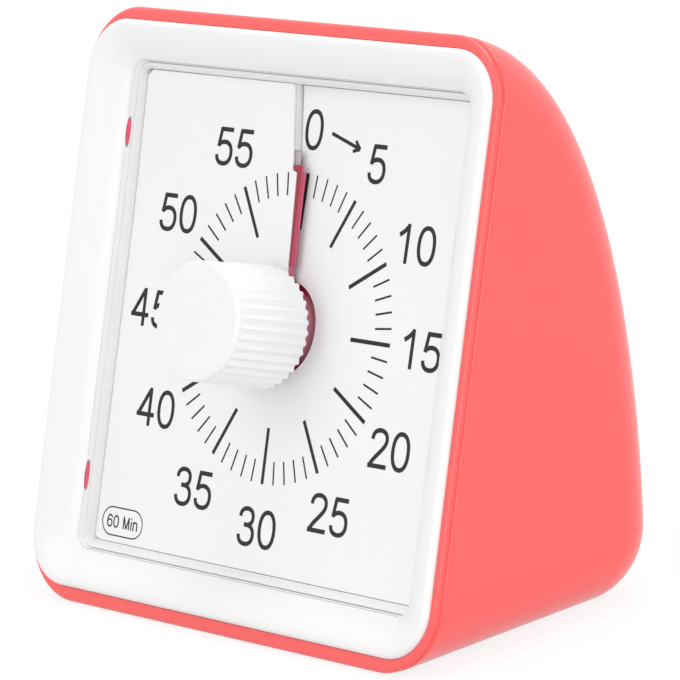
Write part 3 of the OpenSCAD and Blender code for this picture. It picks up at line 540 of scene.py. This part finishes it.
def build_shell():
    body = shell_body()
    door = cut(body.copy(), door_block(0), "INTERSECT")
    notch = lying(rod(0, 0, NOTCH_R, 0.0, 6.0, 48), 0, CASE_D / 2, DOOR_TOP - NOTCH_R)
    door = cut(door, notch)
    through, clear = -WALL - 1.5, 3
    holes = [rod(BUZZ_RING * turn(60 * q)[1], BUZZ_RING * turn(60 * q)[0], BUZZ_HOLE, through,
                 clear, 32) for q in range(6)]
    holes.append(rod(0, 0, BUZZ_HOLE, through, clear, 32))
    holes = moved(merged(*holes), back_space(0, BUZZ_T))
    slot = moved(box(-4.2, 4.2, -1.3, 1.3, through, clear), back_space(SWITCH_X, BUZZ_T))
    body = cut(body, merged(door_block(DOOR_GAP), holes, slot))
    space = ROW.inverted() @ FACE
    lugs = []
    for sx in (-1, 1):
        for u in LUGS:
            ends = sorted((sx * (WIN_X + 0.15), sx * (HALF_W - WALL + 0.5)))
            lug = box(*ends, u - LUG_HALF, u + LUG_HALF, LUG_LOW, LUG_TOP[sx], 0.06)
            # the lugs take the coral with painted shade
            lugs.append(second_look(moved(lug, space)))
    # ribs at the cell's ends and lower ones under it, then the tube that holds the buzzer
    y, deep = CELL_Y - 6.5, CASE_D / 2 - WALL - 2.0
    bay = [box(x, x + 1.5, y, deep, 2.1, 17.5) for x in (26.75, -31.7)]
    bay += [box(x, x + 1.5, y, deep, 2.1, 7.5) for x in (-15.64, 14.14)]
    ring = [(9.2, -1.9), (9.2, -5.4), (10.2, -5.4), (10.2, -1.9), (9.2, -1.9)]
    bay.append(moved(spun(ring, 64), back_space(0, BUZZ_T)))
    piece("coral_shell", merged(body, *lugs, *bay), ROW, "case", "housing", [coral, lug_coral_painted_shade])
    piece("battery_lid", door, ROW, "door", "battery_door", [coral])


# ---------------------------------------------------------------- front frame and tray
def between(s, n, steps=16):
    """Loop of the front frame from its outer edge (s = 0) to the window's edge (s = 1)."""
    return rounded(FRAME_X + (WIN_X - FRAME_X) * s, FRAME_TOP + (WIN_TOP - FRAME_TOP) * s,
                   FRAME_BOT + (WIN_BOT - FRAME_BOT) * s, FRAME_R + (WIN_R - FRAME_R) * s, n, steps)


def build_frame():
    # section: over the rounded outer edge, rolling in to the window's lip, and back underneath
    edge = 0.8
    rs = edge / (FRAME_X - WIN_X)
    sec = [(0.0, SEAT_N)]
    for k in range(9):
        s, c = turn(90 * k / 8)
        sec.append((rs * (1 - c), FRAME_N - edge * (1 - s)))
    for k in range(1, 24):
        v = k / 24
        sec.append((rs + (1 - rs) * v, FRAME_N - (FRAME_N - WIN_N) * v ** 1.9))
    sec = sec[:-1] + [(0.968, WIN_N + 0.2), (0.973, WIN_N + 0.02), (0.985, WIN_N),
                      (0.99, WIN_N + 0.08), (0.996, WIN_N + 0.05), (1.0, WIN_N - 0.03)]
    sec += [(1.0, SKIRT_N),
            (0.8, SKIRT_N), (0.8, SEAT_N), (0.62, SEAT_N), (0.62, SEAT_N + 0.9),
            (0.22, SEAT_N + 1.4), (0.22, SEAT_N)]
    bm = grid([between(s, n) for s, n in sec], wrap_row=True, wrap_col=True)
    slots = []
    for sx in (-1, 1):
        for u in LUGS:
            spot = Matrix.Translation((sx * (WIN_X + 0.9), u, SLOT_N[sx]))
            spot = spot @ Matrix.Rotation(math.pi / 2, 4, "Y")
            flat = Matrix.Diagonal((SLOT_FLAT, 1, 1, 1))
            slots.append(moved(rod(0, 0, SLOT_R, -2.1, 2.1), spot @ flat))
    bm = cut(bm, merged(*slots))
    # faces in a thin band just outside the window's lip, all round but on the right, take the
    # painted shade line
    for f in bm.faces:
        p = f.calc_center_median()
        out = room(p[0], p[1], WIN_X, WIN_TOP, WIN_BOT, WIN_R)
        on_shade_line = SHADE_LINE_NEAR < out < SHADE_LINE_FAR and p[2] > WIN_N - 0.05 and p[0] < WIN_X - 2
        f.material_index = int(on_shade_line)
    boss = [(0.68, SKIRT_N), (1.3, SKIRT_N), (1.3, SEAT_N + 0.4), (0.68, SEAT_N + 0.4),
            (0.68, SKIRT_N)]
    bosses = [spun(boss, 32, (x, u)) for x in (-18, 18) for u in (FRAME_TOP - 3.8, 3.8 - FRAME_BOT)]
    piece("white_frame", merged(bm, *bosses), FACE, "case", "front_bezel", [white, shade_line])


def slit_side(r):
    """Distance of the slit's edge from the upright through the centre, at the radius r."""
    w = min(1.0, max(0.0, (r - JOG_IN) / (JOG_OUT - JOG_IN)))
    w = w * w * (3 - 2 * w)
    return (0.35 - 0.0402 * r) * (1 - w) + (1.56 - 0.1388 * r) * w


def bend_at(r):
    """Degrees by which the slit leaves the straight line from the centre, at the radius r."""
    return math.degrees(math.asin(slit_side(r) / r)) - SLIT_DEG


def card_level(psi):
    """Middle of the card at psi degrees clockwise of the slit."""
    mid = CARD_N - CARD_T / 2
    return mid - DIP * (1 - psi / DIP_DEG) ** 2 if psi < DIP_DEG else mid


def polar(r, psi, n):
    """Point of the face at psi degrees clockwise of the slit."""
    s, c = turn(SLIT_DEG + psi)
    return Vector((r * s, r * c, n))


def card_polar(r, psi, n):
    """The same point on the card, whose rows bend to follow the slit."""
    return polar(r, psi + bend_at(r) * max(0.0, 1 - min(psi, 360 - psi) / BEND), n)


def card_turn(x, u):
    """Row of the card, in degrees from the slit, that a point of the dial lies on."""
    b = bend_at(math.hypot(x, u))
    a = (math.degrees(math.atan2(x, u)) - SLIT_DEG) % 360
    if a - 360 > b:
        a -= 360
    if a < BEND:
        return (a - b) / (1 - b / BEND)
    if a > 360 - BEND:
        return 360 - (360 + b - a) / (1 + b / BEND)
    return a


def reach_at(psi, x, y, r):
    """Distance from the centre, along the card's row psi, to a rounded square's edge."""
    far = y
    for _ in range(4):
        p = card_polar(far, psi, 0).normalized()
        s, c = abs(p[0]), abs(p[1])
        far = min(x / max(s, 0.001), y / max(c, 0.001))
        if far * s > x - r and far * c > y - r:
            b = s * (x - r) + c * (y - r)
            far = b + math.sqrt(max(0.0, b * b - (x - r) ** 2 - (y - r) ** 2 + r * r))
    return far


# Rows of card and bed, from one side of the slit round to the other, in degrees
TURNS = [360 - SLIT_HALF] + [359 - k for k in range(6)] + [352.5 - 1.5 * k for k in range(232)]
TURNS += [4.5 - 0.75 * k for k in range(5)] + [0.9, SLIT_HALF]


def settled(p, share=1.0):
    """A point of the card's edge, moved out and up to where the card is let into the tray."""
    left = share * min(1.0, max(0.0, (-p[0] - 20) / 10))
    low = share * min(1.0, max(0.0, (-p[1] - 22) / 9))
    return Vector((p[0] - 0.5 * left, p[1] - 0.12 * low, p[2] + 0.02 * left * max(0.0, p[1] - 13)))


def build_tray():
    x, top, bot = WIN_X + 0.02, WIN_TOP + 0.02, WIN_BOT + 0.02
    ix, iy = CARD_X + 0.1, CARD_Y + 0.1
    # section of the rim: share of the way from the window's edge to the card, and height
    sec = [(0.0, TRAY_BACK + 0.7), (0.0, TRAY_N - 0.5), (0.08, TRAY_N - 0.45), (0.08, TRAY_N - 0.2)]
    sec += [(0.2 - 0.12 * turn(a)[1], TRAY_N - 0.2 + 0.2 * turn(a)[0]) for a in (30, 60, 90)]
    sec += [(0.2 + 0.52 * k / 8, TRAY_N - 0.55 * (k / 8) ** 2.2) for k in range(1, 9)]
    sec += [(0.82, TRAY_IN_N), (0.84, TRAY_IN_N - 0.25), (1.0, TRAY_IN_N - 0.27),
            (1.0, TRAY_BACK + 0.7)]
    loops = [[settled(p, s) for p in rounded(x + (ix - x) * s, top + (iy - top) * s,
                                             bot + (iy - bot) * s, 1.85 - 1.25 * s, n, 12, 16)]
             for s, n in sec]
    rim = grid(loops, wrap_row=True, wrap_col=True)
    # bed that carries the card and follows its dip
    drop, root, bed_in = CARD_T / 2 + 0.08, TRAY_BACK + 0.7, WELL_R - 0.3
    rows = []
    for psi in TURNS:
        z, r = card_level(psi) - drop, reach_at(psi, CARD_X + 0.75, CARD_Y + 0.75, 0.4)
        rows.append([card_polar(r, psi, root), card_polar(r, psi, z),
                     card_polar(bed_in, psi, z), card_polar(bed_in, psi, root)])
    bed = capped(grid(rows, wrap_row=True))
    # floor with a hole for the spindle, and the flange that is screwed to the frame's bosses
    low, floor = TRAY_BACK, TRAY_BACK + TRAY_FLOOR
    angles, around = [90 * (q + k / 12) for q in range(4) for k in range(13)], 1.6
    hole = [[Vector((around * turn(a)[1], around * turn(a)[0], n)) for a in angles]
            for n in (floor, low)]
    inside = (x - 0.15, top - 0.15, bot - 0.15, 2.4)
    flat = grid([hole[0], rounded(*inside, floor), rounded(*inside, low), hole[1]], True, True)
    wide = (WIN_X + 3.1, WIN_TOP + 2.5, WIN_BOT + 2.5, 6)
    narrow = (x - 0.3, top - 0.3, bot - 0.3, 2.2)
    low, high = -1.9, -0.65
    flange = grid([rounded(*wide, high), rounded(*wide, low), rounded(*narrow, low),
                   rounded(*narrow, high)], True, True)
    # strip under the slit's left-hand side, with the look of the film's lead and its painted shade
    # and reflection, so the gap seen through the slit is not dark
    edge = [(slit_side(r) - 0.05, r) for r in (6.6, 12, 20.2, JOG_OUT, 21.2, DISC_R - 0.1)]
    ledge = second_look(slab(edge + [(x - 1.2, r) for x, r in edge[::-1]], -1.6, -0.12))
    piece("white_tray", merged(rim, bed, flat, flange, ledge), FACE, "case", "dial_tray",
          [tray_white, film_lead_painted_shade])


def build_card():
    radii = [WELL_R, 22.0, 21.0, JOG_OUT, 20.54, 20.48, 20.42, 20.36, 20.32, JOG_IN,
             19.0, 15.0, 11.0]
    rows = []
    for psi in TURNS:
        z, h = card_level(psi), CARD_T / 2
        far = reach_at(psi, CARD_X, CARD_Y, CARD_R)
        top = [(far + WELL_R) / 2, *radii, HOLE_R + 0.05]
        rows.append([settled(card_polar(far, psi, z - h)), settled(card_polar(far, psi, z + h))]
                    + [card_polar(r, psi, z + h) for r in top]
                    + [card_polar(HOLE_R, psi, z + h - 0.05), card_polar(HOLE_R, psi, z - h)])
    # both sides of the slit as walls of their own, square to the sheet
    walls = [[Vector((p[0], p[1], row[-1][2])) for p in row] for row in (rows[0], rows[-1])]
    bm = grid([walls[0], *rows, walls[1]], wrap_row=True)
    piece("dial_sheet", capped(bm), FACE, "case", "dial_card", [card_white])


# ---------------------------------------------------------------- print on the card
INK = 0.012


def on_card(x, u, lift=0.0):
    """Point just above the card's upper face."""
    return Vector((x, u, card_level(card_turn(x, u)) + CARD_T / 2 + INK + lift))


def stroke(pts, w0, w1=None, lift=0.0):
    """Printed stroke along a line of points, w0 wide at its start and w1 at its end."""
    w1 = w0 if w1 is None else w1
    last = len(pts) - 1
    ring = (pts[0] - pts[-1]).length < 1e-6
    rows = []
    for k, p in enumerate(pts):
        before, after = pts[max(k - 1, 0)], pts[min(k + 1, last)]
        if ring and k in (0, last):
            before, after = pts[-2], pts[1]
        d = (after - before).normalized()
        s = Vector((-d[1], d[0])) * ((w0 + (w1 - w0) * k / last) / 2)
        rows.append([on_card(*(p + s), lift), on_card(*(p - s), lift)])
    return grid(rows)


def line(x0, u0, x1, u1, pieces=6):
    """Points along a straight line."""
    a, b = Vector((x0, u0)), Vector((x1, u1))
    return [a.lerp(b, k / pieces) for k in range(pieces + 1)]


def drawn(moves):
    """Points of one pen stroke: L a line to a point, C a curve with two guide points, V or H a
    quarter oval that starts upright or level."""
    x, y = moves[0]
    pts = [Vector((x, y))]
    for kind, *to in moves[1:]:
        if kind == "L":
            pts += line(x, y, *to, 3)[1:]
        elif kind == "C":
            a, b, c, d = Vector((x, y)), Vector(to[0:2]), Vector(to[2:4]), Vector(to[4:6])
            for k in range(1, 11):
                t = k / 10
                pts.append(a * (1 - t) ** 3 + b * 3 * t * (1 - t) ** 2
                           + c * 3 * t * t * (1 - t) + d * t ** 3)
        else:
            for k in range(1, 9):
                s, c = (v ** (2 / OVAL) for v in (max(0.0, q) for q in turn(90 * k / 8)))
                p = (to[0] + (x - to[0]) * c, y + (to[1] - y) * s) if kind == "V" else (
                    x + (to[0] - x) * s, to[1] + (y - to[1]) * c)
                pts.append(Vector(p))
        x, y = to[-2:]
    return pts


# Pen strokes of the grotesque numerals, in mm on a figure FIGURE_H high and CELL wide
OVAL = 2.25
CELL = 3.93
FIGURE_H = 5.1
FIGURES = {
    "0": [[(0.58, 2.55), ("V", 1.97, 4.83), ("H", 3.36, 2.55), ("V", 1.97, 0.27),
           ("H", 0.58, 2.55)]],
    "1": [[(2.34, 0.0), ("L", 2.34, 5.1)], [(2.3, 4.85), ("C", 2.0, 4.35, 1.4, 3.9, 0.78, 3.6)]],
    "2": [[(0.66, 3.62), ("V", 1.98, 4.86), ("H", 3.26, 3.71),
           ("C", 3.26, 2.6, 1.2, 1.6, 0.55, 0.3)],
          [(0.22, 0.29), ("L", 3.59, 0.29)]],
    "3": [[(0.67, 3.74), ("V", 1.9, 4.86), ("H", 3.07, 3.8), ("V", 1.9, 2.74), ("L", 1.45, 2.74)],
          [(1.75, 2.74), ("L", 1.95, 2.74), ("H", 3.31, 1.5), ("V", 1.92, 0.24),
           ("H", 0.61, 1.39)]],
    "4": [[(2.62, 0.0), ("L", 2.62, 5.1)], [(0.09, 1.5), ("L", 3.62, 1.5)],
          [(0.35, 1.36), ("L", 2.6, 4.95)]],
    "5": [[(3.44, 4.76), ("L", 0.98, 4.76)], [(1.2, 4.9), ("L", 0.8, 2.45)],
          [(0.78, 2.5), ("C", 1.1, 2.95, 1.5, 3.1, 2.0, 3.1), ("H", 3.35, 1.7), ("V", 1.93, 0.24),
           ("H", 0.62, 1.36)]],
    "6": [[(3.25, 3.85), ("V", 2.05, 4.86), ("H", 0.66, 2.3), ("V", 2.0, 0.24), ("H", 3.35, 1.65),
           ("V", 2.0, 3.05), ("H", 0.68, 1.75)]],
    "M": [[(0.75, 0.0), ("L", 0.75, 5.1)], [(0.8, 4.9), ("L", 2.35, 0.2)],
          [(2.35, 0.2), ("L", 3.9, 4.9)], [(3.95, 5.1), ("L", 3.95, 0.0)]],
    "i": [[(0.7, 0.0), ("L", 0.7, 3.7)], [(0.7, 4.5), ("L", 0.7, 5.1)]],
    "n": [[(0.7, 0.0), ("L", 0.7, 3.7)],
          [(0.7, 2.4), ("V", 1.85, 3.5), ("H", 2.9, 2.5), ("L", 2.9, 0.0)]],
}
WIDE = {"M": 4.7, "i": 1.4, "n": 3.6, " ": 2.0}


def words(text, cx, cu, scale, pen):
    """Figures in a row, their ink centred on a point of the dial."""
    runs, x = [], 0.0
    for ch in text:
        for moves in FIGURES.get(ch, []):
            runs.append([Vector((p[0] + x, p[1])) for p in drawn(moves)])
        x += WIDE.get(ch, CELL)
    xs = [p[0] for run in runs for p in run]
    shift = Vector((cx, cu)) - Vector(((min(xs) + max(xs)) / 2, FIGURE_H / 2)) * scale
    return [stroke([p * scale + shift for p in run], pen, lift=0.003 * (k % 3))
            for k, run in enumerate(runs)]


def build_print():
    parts = []
    for k in range(60):
        s, c = turn(6 * k)
        major = k % 5 == 0
        low = TICK_MAJOR if major else TICK_MINOR
        if k == 0:
            # the tick at 0 stands beside the slit and widens outwards
            parts.append(stroke(line(-0.1, low, 0.17, TICK_OUT, 12), 0.5, 0.69))
        else:
            tick = line(low * s, low * c, TICK_OUT * s, TICK_OUT * c)
            parts.append(stroke(tick, 0.55 if major else 0.27))
    for k in range(12):
        s, c = turn(30 * k)
        place = (FIGURE_R * s, FIGURE_R * c)
        place = {0: (0.4, 26.05), 1: (place[0] + 0.38, place[1])}.get(k, place)
        parts += words(str(5 * k), *place, 1.0 if k else 1.05, 0.6)
    # arrow for the direction the knob is turned in
    a, b = Vector((3.95, 25.85)), Vector((9.75, 24.2))
    d = (b - a).normalized()
    s = Vector((-d[1], d[0]))
    parts.append(stroke(line(*a, *(b - d * 0.4)), 0.48))
    for side in (-1, 1):
        parts.append(stroke(line(*(b - d * 1.25 + s * side * 0.72), *b, 3), 0.46, lift=0.003))
    parts.append(stroke(line(*(b - d * 1.0), *b, 3), 0.8, 0.1, 0.006))
    # range of the scale in a small pill
    cx, cu, w, h = -26.4, -29.0, 4.15, 1.97
    ring = []
    for side in (1, -1):
        for k in range(17):
            s, c = turn(-90 + 180 * k / 16)
            ring.append(Vector((cx + side * (w - h + (h - 0.09) * c), cu + side * (h - 0.09) * s)))
    parts.append(stroke(ring + ring[:1], 0.18))
    parts += words("60 Min", cx, cu, 0.33, 0.23)
    piece("dial_print", merged(*parts), FACE, "case", "dial_card", [ink], 0, hides=False)


# ---------------------------------------------------------------- disc, pointer and knob
def build_disc():
    """Film disc: one turn of a helix, its leading edge cut back beyond the pointer's head."""
    turns = [(2.7 - 0.6 * k, LEAD_R) for k in range(5)] + [(0.27, LEAD_R), (0.27, DISC_R)]
    turns += [(-k, DISC_R) for k in range(366)]
    rows = []
    for psi, r in turns:
        z = FILM_N + RISE * psi / 360
        low, high = z - FILM_HALF, z + FILM_HALF
        rows.append([polar(r, psi, low), polar(r, psi, high),
                     polar(FILM_IN, psi, high), polar(FILM_IN, psi, low)])
    bm = capped(grid(rows, wrap_row=True))
    # faces of the film's lead take its painted shade and reflection
    for f in bm.faces:
        p = f.calc_center_median()
        psi = (math.degrees(math.atan2(p[0], p[1])) - SLIT_DEG + 180) % 360 - 180
        f.material_index = int(-3 < psi < 4 and p[2] < 0.3)
    piece("film_disc", bm, FACE, "disc", "time_disc", [film, film_lead_painted_shade])
    # bar with a hooked head, its pale cut side and the tongue that joins it to the hub; the pale
    # pink of cut side, tongue and the bar's right-hand faces is a painted glow of light through the
    # plastic
    bar = [(0.11, 8.1), (0.57, 8.1), (0.39, 21.25), (-1.25, 21.25), (-1.25, 20.9), (-1.2, 20.68),
           (-1.08, 20.53), (-0.9, 20.46), (-0.42, 20.45)]
    bm = slab(bar, 0.15, 0.55, 0.05)
    # the bar's faces turned to the right take the painted glow
    for f in bm.faces:
        f.material_index = int(f.normal[0] > 0.8)
    side = second_look(slab([(0.5, 8.1), (0.95, 8.1), (0.78, 20.3), (0.35, 20.3)], 0.1, 0.2))
    tongue = second_look(slab([(0.16, 5.2), (0.6, 5.2), (0.6, 8.2), (0.16, 8.2)], 0.0, 0.4))
    piece("red_pointer", merged(bm, side, tongue), FACE, "disc", "disc_pointer",
          [pointer_red, pointer_painted_glow], 40)
    hub = [(SPINDLE_R, -2.0), (5.0, -2.0), (5.0, 1.95), (4.97, 2.02), (4.9, 2.05),
           (SPINDLE_R, 2.05), (SPINDLE_R, -2.0)]
    piece("red_hub", spun(hub), FACE, "knob", "disc_hub", [hub_red_painted_light], 40)


def build_knob():
    count, collar = 360, COLLAR_N - 0.5

    def ring(r, n, d):
        """Loop of radius r at the height n, fluted d deep; the outer wall leans in a little."""
        pts = []
        for k in range(count):
            s, c = turn(360 * k / count)
            q = r - d * abs(turn(FLUTES * 180 * k / count)[0]) ** 1.5
            q -= KNOB_DRAFT * max(0.0, n - KNOB_N) / (KNOB_TOP - KNOB_N) if r > 6 else 0
            pts.append(Vector((q * c, q * s, n)))
        return pts

    loops = [ring(SPINDLE_R, KNOB_TOP - 3, 0), ring(SPINDLE_R, KNOB_N, 0), ring(7.0, KNOB_N, 0),
             ring(7.75, KNOB_N, 0.3), ring(8.0, KNOB_N + 0.12, 0.42),
             ring(KNOB_WALL, KNOB_N + 0.35, FLUTE_DEEP)]
    loops += [ring(KNOB_WALL, n, FLUTE_DEEP) for n in (6.0, 10.0, collar)]
    # the flutes run out into the plain collar
    loops += [ring(KNOB_WALL + 0.03 * f, collar + 0.5 * f, FLUTE_DEEP * (1 - f * f) ** 0.5)
              for f in (0.4, 0.7, 0.9, 1.0)]
    edge = 0.35
    for k in range(7):
        s, c = turn(90 * k / 6)
        loops.append(ring(KNOB_R - edge * (1 - c), KNOB_TOP - edge + edge * s, 0))
    loops += [ring(r, KNOB_TOP, 0) for r in (6.6, 5.0, 3.0, 1.0)]
    piece("white_knob", capped(grid(loops, wrap_row=True)), FACE, "knob", "knob", [white], 40)


# ---------------------------------------------------------------- inner and back pieces
def paint_nodes():
    """Looks for the solids that show as they are."""
    paints = {
        steel: "knob_spindle stator quartz_crystal contact_spring contact_plate slide_switch "
               "tray_screws movement_screws",
        brass: "clutch_spring centre_wheel third_wheel second_wheel",
        ivory: "movement_plate step_wheel",
        dark_plastic: "movement_cover rotor control_chip buzzer switch_slider",
        copper: "coil", green: "circuit_board", cell_skin: "battery",
    }
    for mat, names in paints.items():
        for name in names.split():
            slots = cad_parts[name].data.materials
            slots.clear()
            slots.append(mat)


# ---------------------------------------------------------------- stage
def light_mix(tree, seen, unseen, out_kind):
    """What is seen, straight or in a mirror, and what lights the object, told apart."""
    path = node(tree, "ShaderNodeLightPath")
    shown = node(tree, "ShaderNodeMath", {
        0: path.outputs["Is Camera Ray"], 1: path.outputs["Is Glossy Ray"]}, operation="MAXIMUM")
    shown = node(tree, "ShaderNodeMath", {
        0: shown.outputs[0], 1: path.outputs["Is Transmission Ray"]}, operation="MAXIMUM")
    mix = node(tree, "ShaderNodeMixShader", {
        0: shown.outputs[0], 1: unseen.outputs[0], 2: seen.outputs[0]})
    out = node(tree, out_kind)
    tree.links.new(mix.outputs[0], out.inputs["Surface"])


def build_stage():
    """White floor, a hair below the sole, and a white room."""
    bm = bmesh.new()
    bmesh.ops.create_grid(bm, x_segments=1, y_segments=1, size=3.0,
                          matrix=Matrix.Translation((0, 0, -0.00002)))
    mesh = bpy.data.meshes.new("floor")
    bm.to_mesh(mesh)
    bm.free()
    floor = bpy.data.objects.new("floor", mesh)
    bpy.context.collection.objects.link(floor)
    mat = bpy.data.materials.new("floor")
    mat.use_nodes = True
    tree = mat.node_tree
    tree.nodes.clear()
    lit = node(tree, "ShaderNodeBsdfDiffuse", {"Color": (0.72, 0.72, 0.72, 1)})
    glow = node(tree, "ShaderNodeEmission", {"Color": (1, 1, 1, 1), "Strength": 1.12})
    pale = node(tree, "ShaderNodeMixShader", {0: 0.25, 1: glow.outputs[0], 2: lit.outputs[0]})
    light_mix(tree, pale, lit, "ShaderNodeOutputMaterial")
    mesh.materials.append(mat)

    world = bpy.data.worlds.new("studio")
    bpy.context.scene.world = world
    world.use_nodes = True
    tree = world.node_tree
    tree.nodes.clear()
    light_mix(tree, node(tree, "ShaderNodeBackground", {"Color": (1, 1, 1, 1), "Strength": 1.0}),
              node(tree, "ShaderNodeBackground", {"Color": (1, 1, 1, 1), "Strength": 0.8}),
              "ShaderNodeOutputWorld")


def area_light(name, place, aim, size, power):
    """Softbox of a size in metres at a place, turned to its aim."""
    data = bpy.data.lights.new(name, "AREA")
    data.shape = "RECTANGLE"
    data.size, data.size_y = size
    data.energy = power
    obj = bpy.data.objects.new(name, data)
    bpy.context.collection.objects.link(obj)
    obj.location = place
    d = Vector(aim) - Vector(place)
    obj.rotation_euler = d.to_track_quat("-Z", "Y").to_euler()


def build_camera():
    """Long lens, 0.6 m from the timer."""
    data = bpy.data.cameras.new("camera")
    data.sensor_width = 36
    data.lens = 251.22
    data.clip_start, data.clip_end = 0.05, 20
    cam = bpy.data.objects.new("camera", data)
    bpy.context.collection.objects.link(cam)
    cam.location = (0.451444, -0.395362, 0.184190)
    cam.rotation_euler = Euler([math.radians(a) for a in (75.86302, 6.09196, 46.93911)])
    bpy.context.scene.camera = cam


build_camera()
build_shell()
build_frame()
build_tray()
build_card()
build_print()
build_disc()
build_knob()
paint_nodes()
build_stage()
# Softboxes: place and aim in metres, size in metres, power in watts
area_light("key", (-0.15, -0.75, 0.75), (0, 0, 0.04), (0.6, 0.5), 1.2)
area_light("side", (0.85, 0.15, 0.45), (0, 0, 0.03), (0.35, 0.6), 1.35)
area_light("top", (0.05, 0.25, 0.9), (0, 0, 0.05), (0.5, 0.4), 2.0)
area_light("front", (0.62, -0.6, 0.22), (0, 0, 0.04), (0.1, 0.3), 1.0)

bpy.context.scene.view_settings.view_transform = "Standard"
